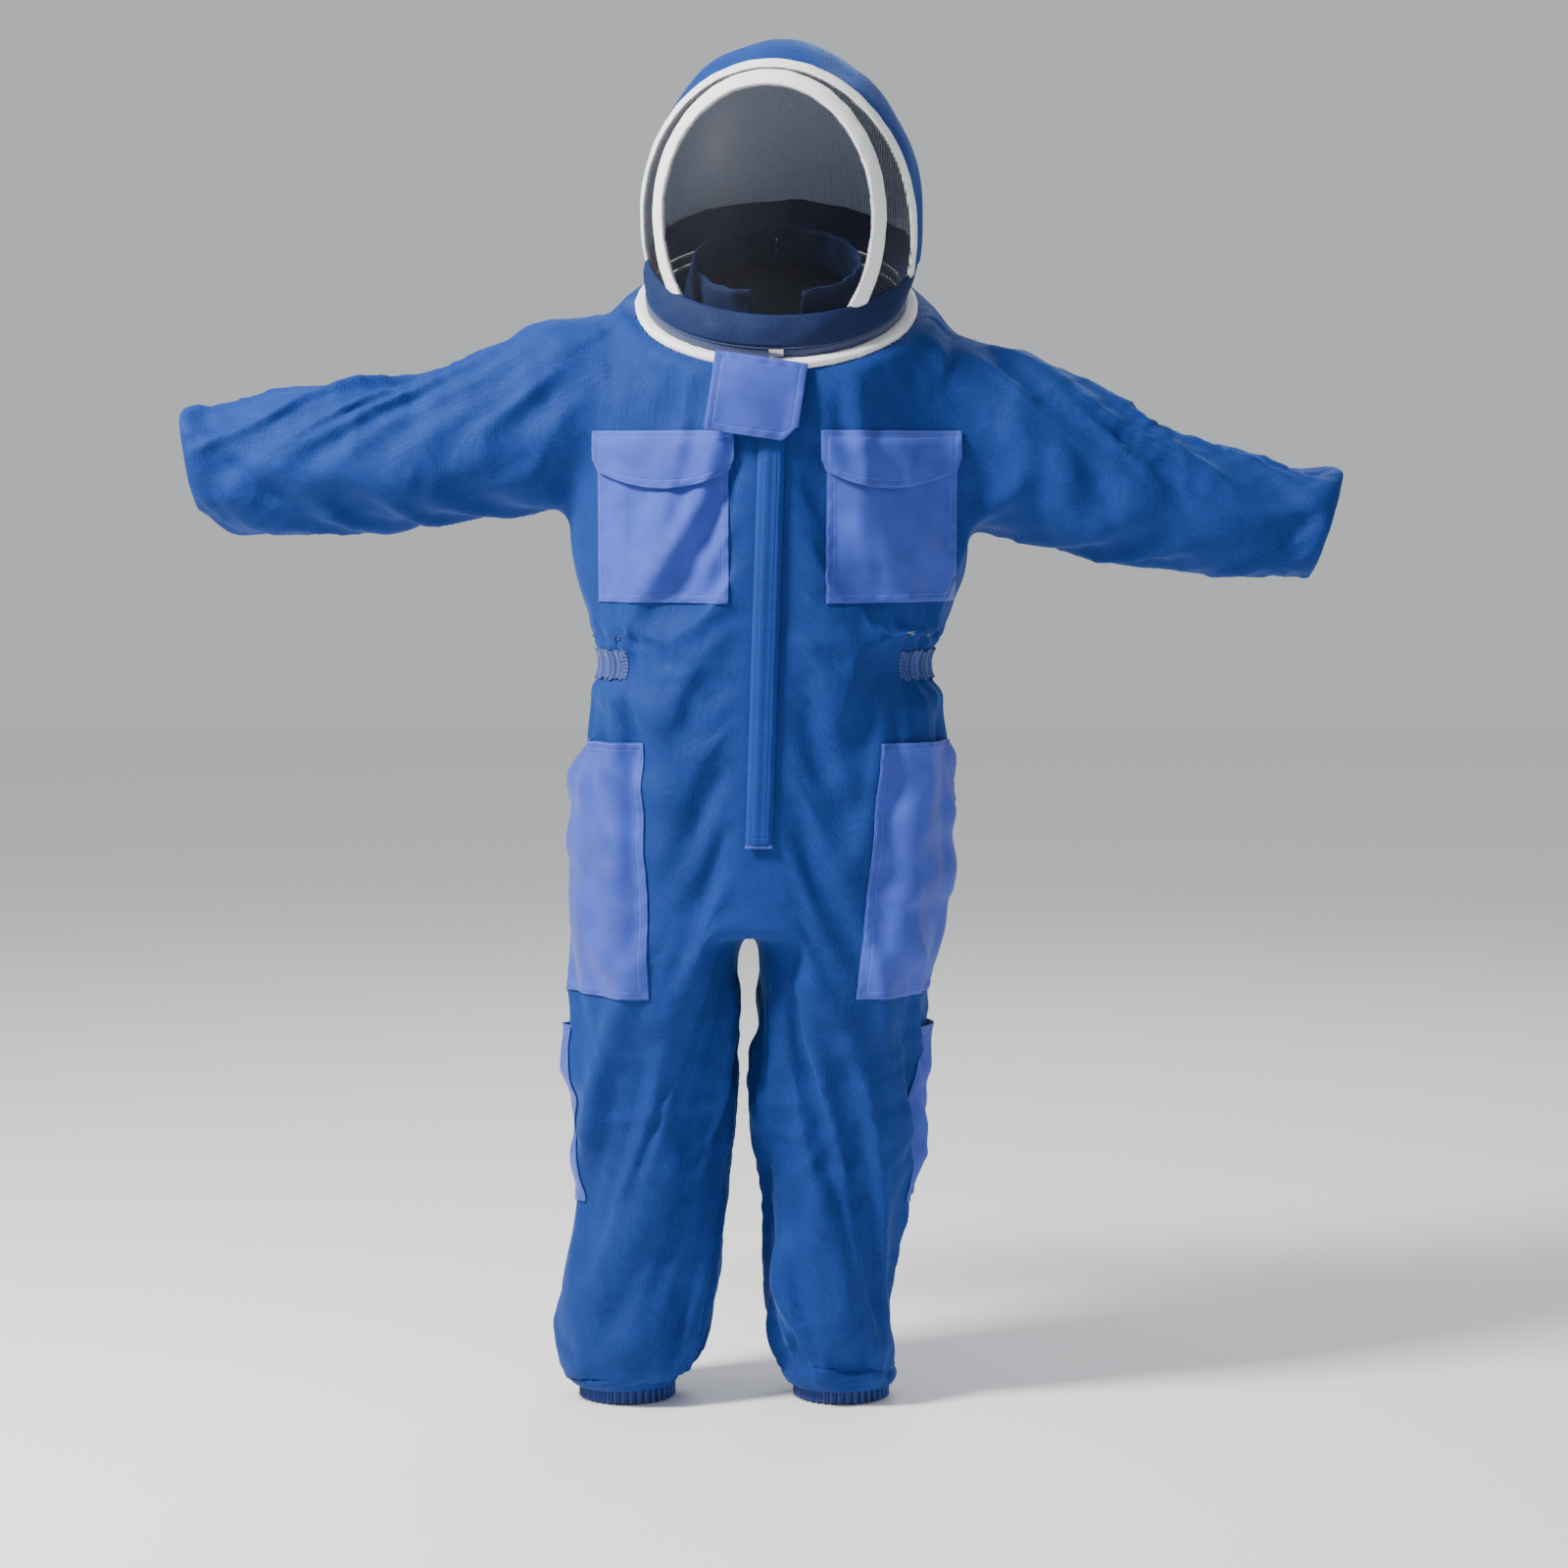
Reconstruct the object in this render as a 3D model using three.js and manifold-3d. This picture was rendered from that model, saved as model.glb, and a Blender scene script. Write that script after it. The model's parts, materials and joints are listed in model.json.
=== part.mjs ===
/**
 * A ventilated beekeeping coverall with a round veiled hood, standing as it hangs on a wearer with the arms out.
 * Millimetres, +Z up, the suit facing -Y and its left side at +X. Heights inside the model are measured up from
 * the trouser hems; the outermost group lowers everything so that the origin lies at the wearer's shoulder line.
 *
 * Every cloth panel is a strip cut from a form: a surface with a place along the body or limb, an angle around it
 * (0 in front, growing towards the wearer's left) and an offset out of the cloth's outer face.
 */
import * as THREE from "three";
import { LoftGeometry } from "three/addons/geometries/LoftGeometry.js";
import { mergeVertices } from "three/addons/utils/BufferGeometryUtils.js";
import Module from "manifold-3d";

const wasm = await Module();
wasm.setup();

// ---------------------------------------------------------------- cloth and clearances
const WALL = 4; // three-layer ventilated cloth
const COTTON = 1.6; // woven pocket cloth, hemmed
const NET = 1.6; // veil netting
const SEAM = 0.3; // between pieces that are sewn or lie face to face
const DEG = Math.PI / 180;
const LEFT = 1;
const RIGHT = -1;

// ---------------------------------------------------------------- trunk
const CROTCH = 592;
const HIP_PIVOT = 640;
const HIP_REACH = 64; // half the cloth that folds at the hip
const ARMPIT = 1122;
const YOKE = 300; // the trunk form's travel from the armpit level to the neck
const SHOULDER_TURN = 3.6; // how late the shoulders turn in, and how soon they stop rising
const SHOULDER_RISE = 2.5;
const FRONT = 160; // the front centre line's distance from the trunk's axis, straight for the zip
const TRUNK_SQUARE = 2.4;
const LEAN = 0.032; // sideways lean of the trunk's centre line
const LEAN_FROM = -13;
const TRUNK = [
  { at: 520, wide: 232, deep: 148 },
  { at: CROTCH, wide: 242, deep: 152 },
  { at: 708, wide: 249, deep: 160 },
  { at: 817, wide: 234, deep: 157 },
  { at: 890, wide: 215, deep: 150 },
  { at: 921, wide: 205, deep: 147 },
  { at: 964, wide: 218, deep: 152 },
  { at: 1037, wide: 242, deep: 161 },
  { at: 1074, wide: 250, deep: 164 },
  { at: ARMPIT, wide: 252, deep: 165 },
];
const WAIST = 921;
const WAIST_BAND = { half: 17, reach: 165, thick: 3 };
const GUSSET_REACH = 100;

// ---------------------------------------------------------------- neck ring
const RING_RADIUS = 166;
const RING_HEIGHT = 1358;
const RING_TILT = 27 * DEG; // the ring is lower in front
const RING_CENTRE = new THREE.Vector3(LEAN_FROM + LEAN * (RING_HEIGHT - CROTCH), 0, RING_HEIGHT);
const BINDING = { wide: 15, thick: 8 };
const TAPE = 2;
const TAPE_RISE = 11;
const CHAIN = 3;
const COLLAR = { radius: 118, thick: 3.4, low: 8, high: 70, gape: 15 * DEG, taper: 10 };
const COLLAR_SEAM = 0.003;

// ---------------------------------------------------------------- sleeves, measured out from the shoulder pivot
const SHOULDER = 236; // the pivots' distance out from the trunk's axis
const SLEEVE_HEAD = 105; // cloth that folds at the shoulder
const ELBOW = 235;
const ELBOW_REACH = 62;
const SLEEVE_SQUARE = 2.1;
const CUFF = { inside: 30, outside: 9, wide: 47, deep: 42, thick: 3 };
const SLEEVES = {
  [RIGHT]: {
    drop: 9.5 * DEG,
    high: 1240,
    end: 490,
    stations: [
      { at: -60, wide: 113, deep: 94, x: 12 },
      { at: 20, wide: 113, deep: 94, x: 12 },
      { at: 90, wide: 99, deep: 88 },
      { at: 160, wide: 94, deep: 82 },
      { at: 205, wide: 85, deep: 78, x: -8 },
      { at: 264, wide: 92, deep: 80, x: 3 },
      { at: 338, wide: 92, deep: 78, x: 10 },
      { at: 413, wide: 85, deep: 73, x: 8 },
      { at: 450, wide: 77, deep: 68, x: 6 },
      { at: 490, wide: 70, deep: 63, x: 12 },
    ],
  },
  [LEFT]: {
    drop: 17 * DEG,
    high: 1226,
    end: 468,
    stations: [
      { at: -60, wide: 113, deep: 96 },
      { at: 20, wide: 112, deep: 96 },
      { at: 89, wide: 104, deep: 90 },
      { at: 165, wide: 101, deep: 84 },
      { at: 204, wide: 89, deep: 80, x: -8 },
      { at: 242, wide: 78, deep: 76, x: -13 },
      { at: 280, wide: 78, deep: 75, x: -3 },
      { at: 357, wide: 76, deep: 72 },
      { at: 433, wide: 77, deep: 68, x: 3 },
      { at: 468, wide: 76, deep: 66, x: 3 },
    ],
  },
};

// ---------------------------------------------------------------- trouser legs, by height above the hems
const KNEE = 357;
const KNEE_REACH = 60;
const LEG_SQUARE = 2.2;
const LEG_HEM = 16;
const ANKLE = { low: 0, high: 44, thick: 3 };
const LEGS = {
  [RIGHT]: {
    stations: [
      { at: LEG_HEM, x: -180, wide: 70, deep: 74 },
      { at: 46, x: -190, wide: 86, deep: 88 },
      { at: 95, x: -182, wide: 93, deep: 94 },
      { at: 165, x: -168, wide: 95, deep: 94 },
      { at: 240, x: -154, wide: 87, deep: 90 },
      { at: KNEE, x: -154, wide: 90, deep: 97, y: -4 },
      { at: 451, x: -155, wide: 99, deep: 108 },
      { at: 525, x: -148, wide: 107, deep: 124 },
      { at: CROTCH, x: -142, wide: 113, deep: 138 },
    ],
    ankle: { x: -176, wide: 56, deep: 58 },
  },
  [LEFT]: {
    stations: [
      { at: LEG_HEM, x: 93, wide: 74, deep: 76 },
      { at: 46, x: 93, wide: 79, deep: 86 },
      { at: 95, x: 88, wide: 82, deep: 92 },
      { at: 165, x: 82, wide: 81, deep: 92 },
      { at: 240, x: 97, wide: 86, deep: 90 },
      { at: KNEE, x: 96, wide: 96, deep: 98, y: -4 },
      { at: 451, x: 88, wide: 101, deep: 108 },
      { at: 525, x: 98, wide: 109, deep: 124 },
      { at: CROTCH, x: 107, wide: 119, deep: 138 },
    ],
    ankle: { x: 93, wide: 60, deep: 60 },
  },
};

// ---------------------------------------------------------------- hood
const HOOD_YAW = 9 * DEG; // the hood faces a little to its right
const DOME = { z: 1475, side: 171, front: 186, back: 160, up: 208, down: 228 };
const YOKE_RISE = 34; // hood cloth between the neck zip and the veil
const HOOP = { thick: 6, sides: 8 };
const FACE_HOOP = { y: -115, z: 1475, tilt: -4 * DEG, clip: 1346, wide: 18 };
const CROWN_HOOP = { y: -45, z: 1475, tilt: -20 * DEG, clip: 1346, wide: 15 };

// ---------------------------------------------------------------- pockets and flaps
const CHEST_POCKET = { inner: { [RIGHT]: 52, [LEFT]: 66 }, wide: 160, low: 998, high: 1196 };
const CHEST_FLAP = { margin: 7, drop: 44, belly: 24, high: 1206, lift: 2.4 };
const HIP_POCKET = { low: 516, high: 828, top: { [RIGHT]: 130, [LEFT]: 152 }, foot: { [RIGHT]: 137, [LEFT]: 118 }, back: 12 };
const LEG_POCKET = { low: 250, high: 468, inner: 30, front: -34 };
const TAPE_INSET = 44;
const TAPE_LOW = 46;
const TAPE_HIGH = 26;
const ZIP = { low: 708, high: 1262, chain: 6, thick: 1.6 };
const STORM_FLAP = { low: 708, high: 1226, half: 17, inside: 7.4, outside: 9.2, edge: 2.6 };
const SLIDER = { wide: 11, thick: 5, long: 16, pull: 30, pullWide: 7, pullThick: 1.2 };
const NECK_FLAP = { wide: 112, high: 96, aside: -17, above: 7, thick: 2.2, bow: 6, stand: 15, over: 36, turn: 8.5 * DEG, clip: 16 };

// ---------------------------------------------------------------- finishes
const finish = (color, roughness) => new THREE.MeshStandardMaterial({ color, roughness, metalness: 0 });
const AIR_MESH = finish(0x1f4fa3, 0.78); // royal blue three-layer cloth
const POPLIN = finish(0x4a66c4, 0.72); // lighter, more violet pocket cloth
const WHITE = finish(0xf2f2f2, 0.6);
const NETTING = finish(0x16181f, 0.7);
const NAVY = finish(0x101c4a, 0.8);
const ELASTIC = finish(0x2a5cb4, 0.8);
const HOOK = finish(0x2c3f8c, 0.95);
const NYLON = finish(0x1a2f7c, 0.5);
const STEEL = new THREE.MeshStandardMaterial({ color: 0xc4c6ca, roughness: 0.3, metalness: 1 });

// ---------------------------------------------------------------- geometry helpers

/** A station list's value of one field at a place, on a Catmull-Rom curve that runs straight past its ends. */
function reading(stations, at, field) {
  const value = (i) => stations[i][field] ?? 0;
  const last = stations.length - 1;
  let i = stations.findIndex((s) => s.at > at) - 1;
  if (at >= stations[last].at) i = last - 1;
  if (at <= stations[0].at) i = 0;
  const slope = (k) => {
    const a = Math.max(0, k - 1);
    const b = Math.min(last, k + 1);
    return (value(b) - value(a)) / (stations[b].at - stations[a].at);
  };
  const span = stations[i + 1].at - stations[i].at;
  const t = (at - stations[i].at) / span;
  if (t < 0) return value(i) + slope(i) * t * span;
  if (t > 1) return value(i + 1) + slope(i + 1) * (t - 1) * span;
  const rise = t * t * (3 - 2 * t);
  return (
    value(i) * (1 - rise) +
    value(i + 1) * rise +
    span * (t * (1 - t) ** 2 * slope(i) - t * t * (1 - t) * slope(i + 1))
  );
}

/** A point on an oval of the given half sizes. The higher the squareness, the flatter its sides. */
function onOval(turn, wide, deep, square) {
  const power = (v) => Math.sign(v) * Math.abs(v) ** (2 / square);
  return [wide * power(Math.sin(turn)), -deep * power(Math.cos(turn))];
}

/** The angle at which an oval's sideways reach is x. */
const turnAt = (x, wide, square) => Math.sign(x) * Math.asin(Math.min(1, Math.abs(x) / wide) ** (square / 2));

/** The trunk: horizontal ovals up to the armpits, then shoulders that close in on the tilted neck ring. */
function trunk(at, turn) {
  const height = Math.min(at, ARMPIT);
  const wide = reading(TRUNK, height, "wide");
  const deep = reading(TRUNK, height, "deep");
  const [x, y] = onOval(turn, wide, deep, TRUNK_SQUARE);
  const low = new THREE.Vector3(centreX(height) + x, y + deep - FRONT, height);
  if (at <= ARMPIT) return low;
  const s = Math.min(1.02, (at - ARMPIT) / YOKE);
  const neck = onRing(turn, 0, 0);
  const inward = s ** SHOULDER_TURN;
  const upward = s < 1 ? 1 - (1 - s) ** SHOULDER_RISE : s;
  return new THREE.Vector3(
    THREE.MathUtils.lerp(low.x, neck.x, inward),
    THREE.MathUtils.lerp(low.y, neck.y, inward),
    THREE.MathUtils.lerp(low.z, neck.z, upward),
  );
}
const centreX = (height) => LEAN_FROM + LEAN * (height - CROTCH);
const trunkTurn = (at, x) => turnAt(x, reading(TRUNK, Math.min(at, ARMPIT), "wide"), TRUNK_SQUARE);

/** A point by the neck ring: out from its radius, and up along its axis. */
function onRing(turn, out, rise) {
  const reach = RING_RADIUS + out;
  return new THREE.Vector3(
    RING_CENTRE.x + reach * Math.sin(turn),
    RING_CENTRE.y - reach * Math.cos(turn) * Math.cos(RING_TILT) - rise * Math.sin(RING_TILT),
    RING_CENTRE.z - reach * Math.cos(turn) * Math.sin(RING_TILT) + rise * Math.cos(RING_TILT),
  );
}

/** A trouser leg, in horizontal ovals. */
const leg = (side) => (at, turn) => {
  const s = LEGS[side].stations;
  const [x, y] = onOval(turn, reading(s, at, "wide"), reading(s, at, "deep"), LEG_SQUARE);
  return new THREE.Vector3(reading(s, at, "x") + x, reading(s, at, "y") + y + frontShift(at), at);
};
const frontShift = (at) => THREE.MathUtils.smoothstep(at, 420, CROTCH) * (138 - FRONT + 8);

/** A sleeve in its own frame: out along +Z, the thumb side up at +X, the front at -Y. */
const sleeve = (side) => (at, turn) => {
  const s = SLEEVES[side].stations;
  const [x, y] = onOval(turn, reading(s, at, "wide"), reading(s, at, "deep"), SLEEVE_SQUARE);
  return new THREE.Vector3(reading(s, at, "x") + x, y, at);
};

/** A point off a form's outer face. */
function offset(form, at, turn, out) {
  const point = form(at, turn);
  if (out === 0) return point;
  const along = form(at + 0.5, turn).sub(form(at - 0.5, turn));
  const around = form(at, turn + 0.004).sub(form(at, turn - 0.004));
  return point.addScaledVector(around.cross(along).normalize(), out);
}

/** Turns a closed geometry's faces outwards and leaves only its positions. */
function closed(geometry) {
  const bare = new THREE.BufferGeometry().setAttribute("position", geometry.getAttribute("position"));
  if (geometry.index) bare.setIndex(geometry.index.clone());
  const merged = mergeVertices(bare, 1e-3);
  const p = merged.getAttribute("position");
  const index = merged.index.array;
  const corner = (i) => new THREE.Vector3().fromBufferAttribute(p, index[i]);
  let volume = 0;
  for (let i = 0; i < index.length; i += 3) volume += corner(i).dot(corner(i + 1).cross(corner(i + 2)));
  if (volume < 0) {
    for (let i = 0; i < index.length; i += 3) [index[i + 1], index[i + 2]] = [index[i + 2], index[i + 1]];
  }
  return merged;
}

/** A geometry as a solid that can be cut and joined, and back. */
function solid(geometry) {
  const g = closed(geometry);
  return new wasm.Manifold(
    new wasm.Mesh({
      numProp: 3,
      vertProperties: new Float32Array(g.getAttribute("position").array),
      triVerts: new Uint32Array(g.index.array),
    }),
  );
}
function toGeometry(manifold) {
  const mesh = manifold.getMesh();
  const positions = new Float32Array(mesh.numVert * 3);
  for (let i = 0; i < mesh.numVert; i++) {
    positions.set(mesh.vertProperties.subarray(i * mesh.numProp, i * mesh.numProp + 3), i * 3);
  }
  return new THREE.BufferGeometry()
    .setAttribute("position", new THREE.BufferAttribute(positions, 3))
    .setIndex(new THREE.BufferAttribute(mesh.triVerts, 1));
}

const steps = (from, to, count) => Array.from({ length: count + 1 }, (_, i) => from + ((to - from) * i) / count);
const asFunction = (value) => (typeof value === "function" ? value : () => value);

/** A tube of cloth whose outer face is a form. */
function tube(form, { from, to, inner = -WALL, outer = 0, rows = 4, columns = 20 }) {
  const ring = (out) => (at) =>
    steps(0, 2 * Math.PI, columns)
      .slice(0, -1)
      .map((turn) => offset(form, at, turn, out));
  const places = steps(from, to, rows);
  const sections = [...places.map(ring(outer)), ...places.reverse().map(ring(inner))];
  return closed(new LoftGeometry([...sections, sections[0]]));
}

/** A closed body through sections, capped at both ends, whichever way round its sections run. */
function capped(sections) {
  const middle = (section) => section.reduce((sum, p) => sum.add(p), new THREE.Vector3()).divideScalar(section.length);
  const onward = middle(sections[1]).sub(middle(sections[0]));
  const facing = new THREE.Vector3();
  sections[0].forEach((p, i) => facing.add(p.clone().cross(sections[0][(i + 1) % sections[0].length])));
  const ordered = facing.dot(onward) > 0 ? sections : sections.map((section) => [...section].reverse());
  return closed(new LoftGeometry(ordered, { capStart: true, capEnd: true }));
}

/** A form filled solid and grown by a distance. Every growth of a form has its facets in the same places. */
function grown({ shape, from, to, rows, columns }, out, spare = 0) {
  const inside = steps(from, to, rows);
  const places = spare ? [from - spare, ...inside, to + spare] : inside;
  const turns = steps(0, 2 * Math.PI, columns).slice(0, -1);
  return solid(capped(places.map((at) => turns.map((turn) => offset(shape, at, turn, out)))));
}

/** The layer between two growths of the forms given, joined where they meet. */
function layer(forms, inner, outer, spare = 6) {
  const join = (out, more) => forms.map((form) => grown(form, out, more)).reduce((a, b) => a.add(b));
  return join(outer, 0).subtract(join(inner, spare));
}

/** The block between two corners, as a cutter. */
function block([x0, y0, z0], [x1, y1, z1]) {
  return solid(new THREE.BoxGeometry(x1 - x0, y1 - y0, z1 - z0).translate((x0 + x1) / 2, (y0 + y1) / 2, (z0 + z1) / 2));
}

/** An outline in x and height, driven through from one depth to another, as a cutter. */
function prism(outline, y0, y1) {
  const shape = new THREE.Shape(outline.map(([x, z]) => new THREE.Vector2(x, z)));
  const geometry = new THREE.ExtrudeGeometry(shape, { depth: y1 - y0, bevelEnabled: false });
  return solid(geometry.rotateX(90 * DEG).translate(0, y1, 0));
}

/** The largest connected piece of a solid. */
const largest = (manifold) => manifold.decompose().sort((a, b) => b.volume() - a.volume())[0];

/** A band round the neck ring, whole or part of the way, from its section's reaches out and rises. */
function ringSweep(profile, { from = 0, to = 2 * Math.PI, columns = 32 } = {}) {
  const sections = steps(from, to, columns).map((turn) => profile.map(([out, rise]) => onRing(turn, out, rise)));
  const whole = to - from > 2 * Math.PI - 1e-6;
  if (whole) sections[columns] = sections[0];
  return whole ? closed(new LoftGeometry(sections)) : capped(sections);
}
const ringBand = ({ out, rise, ...span }) =>
  ringSweep([[out[0], rise[0]], [out[1], rise[0]], [out[1], rise[1]], [out[0], rise[1]]], span);

const box = (x, y, z) => closed(new THREE.BoxGeometry(x, y, z));

/** A mesh with its name, finish and place. */
function piece(name, geometry, material, parent, place = {}) {
  const mesh = new THREE.Mesh(geometry, material);
  mesh.name = name;
  mesh.position.set(...(place.at ?? [0, 0, 0]));
  mesh.rotation.set(...(place.turned ?? [0, 0, 0]));
  parent.add(mesh);
  return mesh;
}

// ---------------------------------------------------------------- assembly
const suit = new THREE.Group();
const body = new THREE.Group();
body.position.z = -RING_HEIGHT;
suit.add(body);

const sideName = { [LEFT]: "left", [RIGHT]: "right" };
const trunkTop = ARMPIT + YOKE;
const trunkLow = HIP_PIVOT + HIP_REACH;

/** A sleeve's frame: its pivot at the armhole, +Z out along the sleeve, +X up, -Y to the front. */
function sleeveFrame(side) {
  const frame = new THREE.Group();
  const { high } = SLEEVES[side];
  frame.position.set(centreX(high) + side * SHOULDER, 0, high);
  const out = new THREE.Vector3(side * Math.cos(SLEEVES[side].drop), 0, -Math.sin(SLEEVES[side].drop));
  const front = new THREE.Vector3(0, -1, 0);
  const up = new THREE.Vector3().crossVectors(front, out).multiplyScalar(side);
  const across = side === LEFT ? up : up.clone();
  const basis = new THREE.Matrix4().makeBasis(across, new THREE.Vector3().crossVectors(out, across), out);
  frame.quaternion.setFromRotationMatrix(basis);
  return frame;
}

/** The forms the cloth is cut from. */
const FAR = 400;
const trunkForm = { shape: trunk, from: CROTCH, to: trunkTop, rows: 11, columns: 32 };
const trunkStep = (trunkTop - CROTCH) / trunkForm.rows;
const legForm = (side) => ({ shape: leg(side), from: LEG_HEM, to: CROTCH, rows: 7, columns: 16 });
const sleeveForm = (side) => ({ shape: sleeve(side), from: -60, to: SLEEVES[side].end, rows: 8, columns: 16 });
const sideSeam = (at) => reading(TRUNK, Math.min(at, ARMPIT), "deep") - FRONT;

/** The two sides of the front opening, leaning with the zip. */
function frontHalf(side) {
  const edge = ZIP.chain / 2 + 1;
  const half = new THREE.BoxGeometry(FAR, 2 * FAR, 4 * FAR).translate(side * (edge + FAR / 2), 0, 0);
  half.rotateY(Math.atan(LEAN)).translate(centreX(ZIP.low), 0, ZIP.low);
  return solid(half);
}

/** A sleeve filled solid and grown by a distance, in the trunk's frame. */
function arm(side, out) {
  const frame = sleeveFrame(side);
  frame.updateMatrix();
  return solid(toGeometry(grown(sleeveForm(side), out)).applyMatrix4(frame.matrix));
}

/** Front and back body panels, cut out at the armholes and parted at the waist behind. */
function bodyPanels() {
  const cloth = layer([trunkForm], -WALL, 0).subtract(arm(LEFT, -WALL)).subtract(arm(RIGHT, -WALL));
  const seam = sideSeam(WAIST);
  const front = cloth.intersect(block([-FAR, -FAR, trunkLow], [FAR, seam - SEAM / 2, FAR * 4]));
  for (const side of [LEFT, RIGHT]) {
    piece(`front_panel_${sideName[side]}`, toGeometry(largest(front.intersect(frontHalf(side)))), AIR_MESH, body);
  }
  const back = (low, high) => toGeometry(largest(cloth.intersect(block([-FAR, seam + SEAM / 2, low], [FAR, FAR, high]))));
  piece("back_panel_lower", back(trunkLow, WAIST - SEAM), AIR_MESH, body);
  piece("back_panel_upper", back(WAIST, FAR * 4), AIR_MESH, body);
}

/** Elastic drawn round the sides of the waist, stitched over the panels. */
function waistElastic() {
  const band = layer([trunkForm], SEAM, WAIST_BAND.thick);
  for (const side of [LEFT, RIGHT]) {
    const inner = centreX(WAIST) + side * WAIST_BAND.reach;
    const low = [Math.min(inner, side * FAR), -FAR, WAIST - WAIST_BAND.half];
    const high = [Math.max(inner, side * FAR), FAR, WAIST + WAIST_BAND.half];
    piece(`waist_elastic_${sideName[side]}`, toGeometry(band.intersect(block(low, high))), ELASTIC, body);
  }
}

/** The seat and the tops of the thighs, which fold as the legs move, and the gusset between the legs. */
function seat() {
  const cloth = layer([trunkForm], -WALL, 0);
  for (const side of [LEFT, RIGHT]) {
    const inner = centreX(CROTCH) + side * (SEAM / 2);
    const low = [Math.min(inner, side * FAR), -FAR, CROTCH + SEAM];
    const high = [Math.max(inner, side * FAR), FAR, trunkLow - SEAM];
    piece(`seat_${sideName[side]}`, toGeometry(largest(cloth.intersect(block(low, high)))), AIR_MESH, body);
  }
  const inside = (side) => Math.abs(LEGS[side].stations.at(-1).x) - LEGS[side].stations.at(-1).wide;
  const width = inside(LEFT) + inside(RIGHT) - 2 * SEAM;
  const place = [(inside(LEFT) - inside(RIGHT)) / 2, frontShift(CROTCH), CROTCH - WALL / 2];
  piece("crotch_gusset", box(width, 2 * GUSSET_REACH, WALL), AIR_MESH, body, { at: place });
}

/** One leg: the thigh in two lengths, the cloth that folds at the knee, the shin and the ankle elastic. */
function trouserLeg(side) {
  const name = sideName[side];
  const form = leg(side);
  const cloth = layer([legForm(side)], -WALL, 0);
  const spans = {
    thigh_top: [HIP_PIVOT - HIP_REACH + SEAM, CROTCH],
    thigh: [KNEE + KNEE_REACH + SEAM, HIP_PIVOT - HIP_REACH],
    knee: [KNEE - KNEE_REACH, KNEE + KNEE_REACH],
    shin: [LEG_HEM, KNEE - KNEE_REACH - SEAM],
  };
  for (const [part, [low, high]] of Object.entries(spans)) {
    const cut = cloth.intersect(block([-FAR, -FAR, low], [FAR, FAR, high]));
    piece(`${part}_${name}`, toGeometry(cut), AIR_MESH, body);
  }
  const { ankle } = LEGS[side];
  const reachTo = (at) => THREE.MathUtils.smoothstep(at, ANKLE.high - 16, ANKLE.high);
  const gather = (at, turn) => {
    const edge = offset(form, ANKLE.high, turn, -WALL - SEAM);
    const [x, y] = onOval(turn, ankle.wide, ankle.deep, LEG_SQUARE);
    const point = new THREE.Vector3(ankle.x + x, y, at).lerp(edge, reachTo(at));
    point.z = at;
    return point;
  };
  const cuff = solid(tube(gather, { from: ANKLE.low, to: ANKLE.high, inner: -ANKLE.thick, rows: 3, columns: 18 }));
  const clear = layer([legForm(side)], -WALL - SEAM, SEAM);
  piece(`ankle_cuff_${name}`, toGeometry(largest(cuff.subtract(clear))), ELASTIC, body);
}

/** One sleeve: the head that folds at the shoulder, the upper sleeve, the elbow, the forearm and the elastic cuff. */
function sleeveParts(side) {
  const name = sideName[side];
  const form = sleeve(side);
  const frame = sleeveFrame(side);
  body.add(frame);
  frame.updateMatrix();
  const { end } = SLEEVES[side];
  const cloth = layer([sleeveForm(side)], -WALL, 0);
  const body3 = toGeometry(grown(trunkForm, SEAM)).applyMatrix4(frame.matrix.clone().invert());
  const spans = {
    sleeve_head: [-60, SLEEVE_HEAD - SEAM],
    upper_sleeve: [SLEEVE_HEAD, ELBOW - ELBOW_REACH],
    elbow: [ELBOW - ELBOW_REACH + SEAM, ELBOW + ELBOW_REACH - SEAM],
    forearm: [ELBOW + ELBOW_REACH, end],
  };
  for (const [part, [low, high]] of Object.entries(spans)) {
    const cut = cloth.intersect(block([-FAR, -FAR, low], [FAR, FAR, high])).subtract(solid(body3));
    piece(`${part}_${name}`, toGeometry(largest(cut)), AIR_MESH, frame);
  }
  const gather = (at, turn) => {
    const edge = offset(form, end - CUFF.inside, turn, -WALL - SEAM);
    const [x, y] = onOval(turn, CUFF.wide, CUFF.deep, SLEEVE_SQUARE);
    const point = new THREE.Vector3(x, y, at).lerp(edge, 1 - THREE.MathUtils.smoothstep(at, end - CUFF.inside, end - 6));
    point.z = at;
    return point;
  };
  const span = { from: end - CUFF.inside, to: end + CUFF.outside };
  const cuff = solid(tube(gather, { ...span, inner: -CUFF.thick, rows: 3, columns: 16 }));
  const clear = layer([sleeveForm(side)], -WALL - SEAM, SEAM);
  piece(`wrist_cuff_${name}`, toGeometry(largest(cuff.subtract(clear))), ELASTIC, frame);
}

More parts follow.
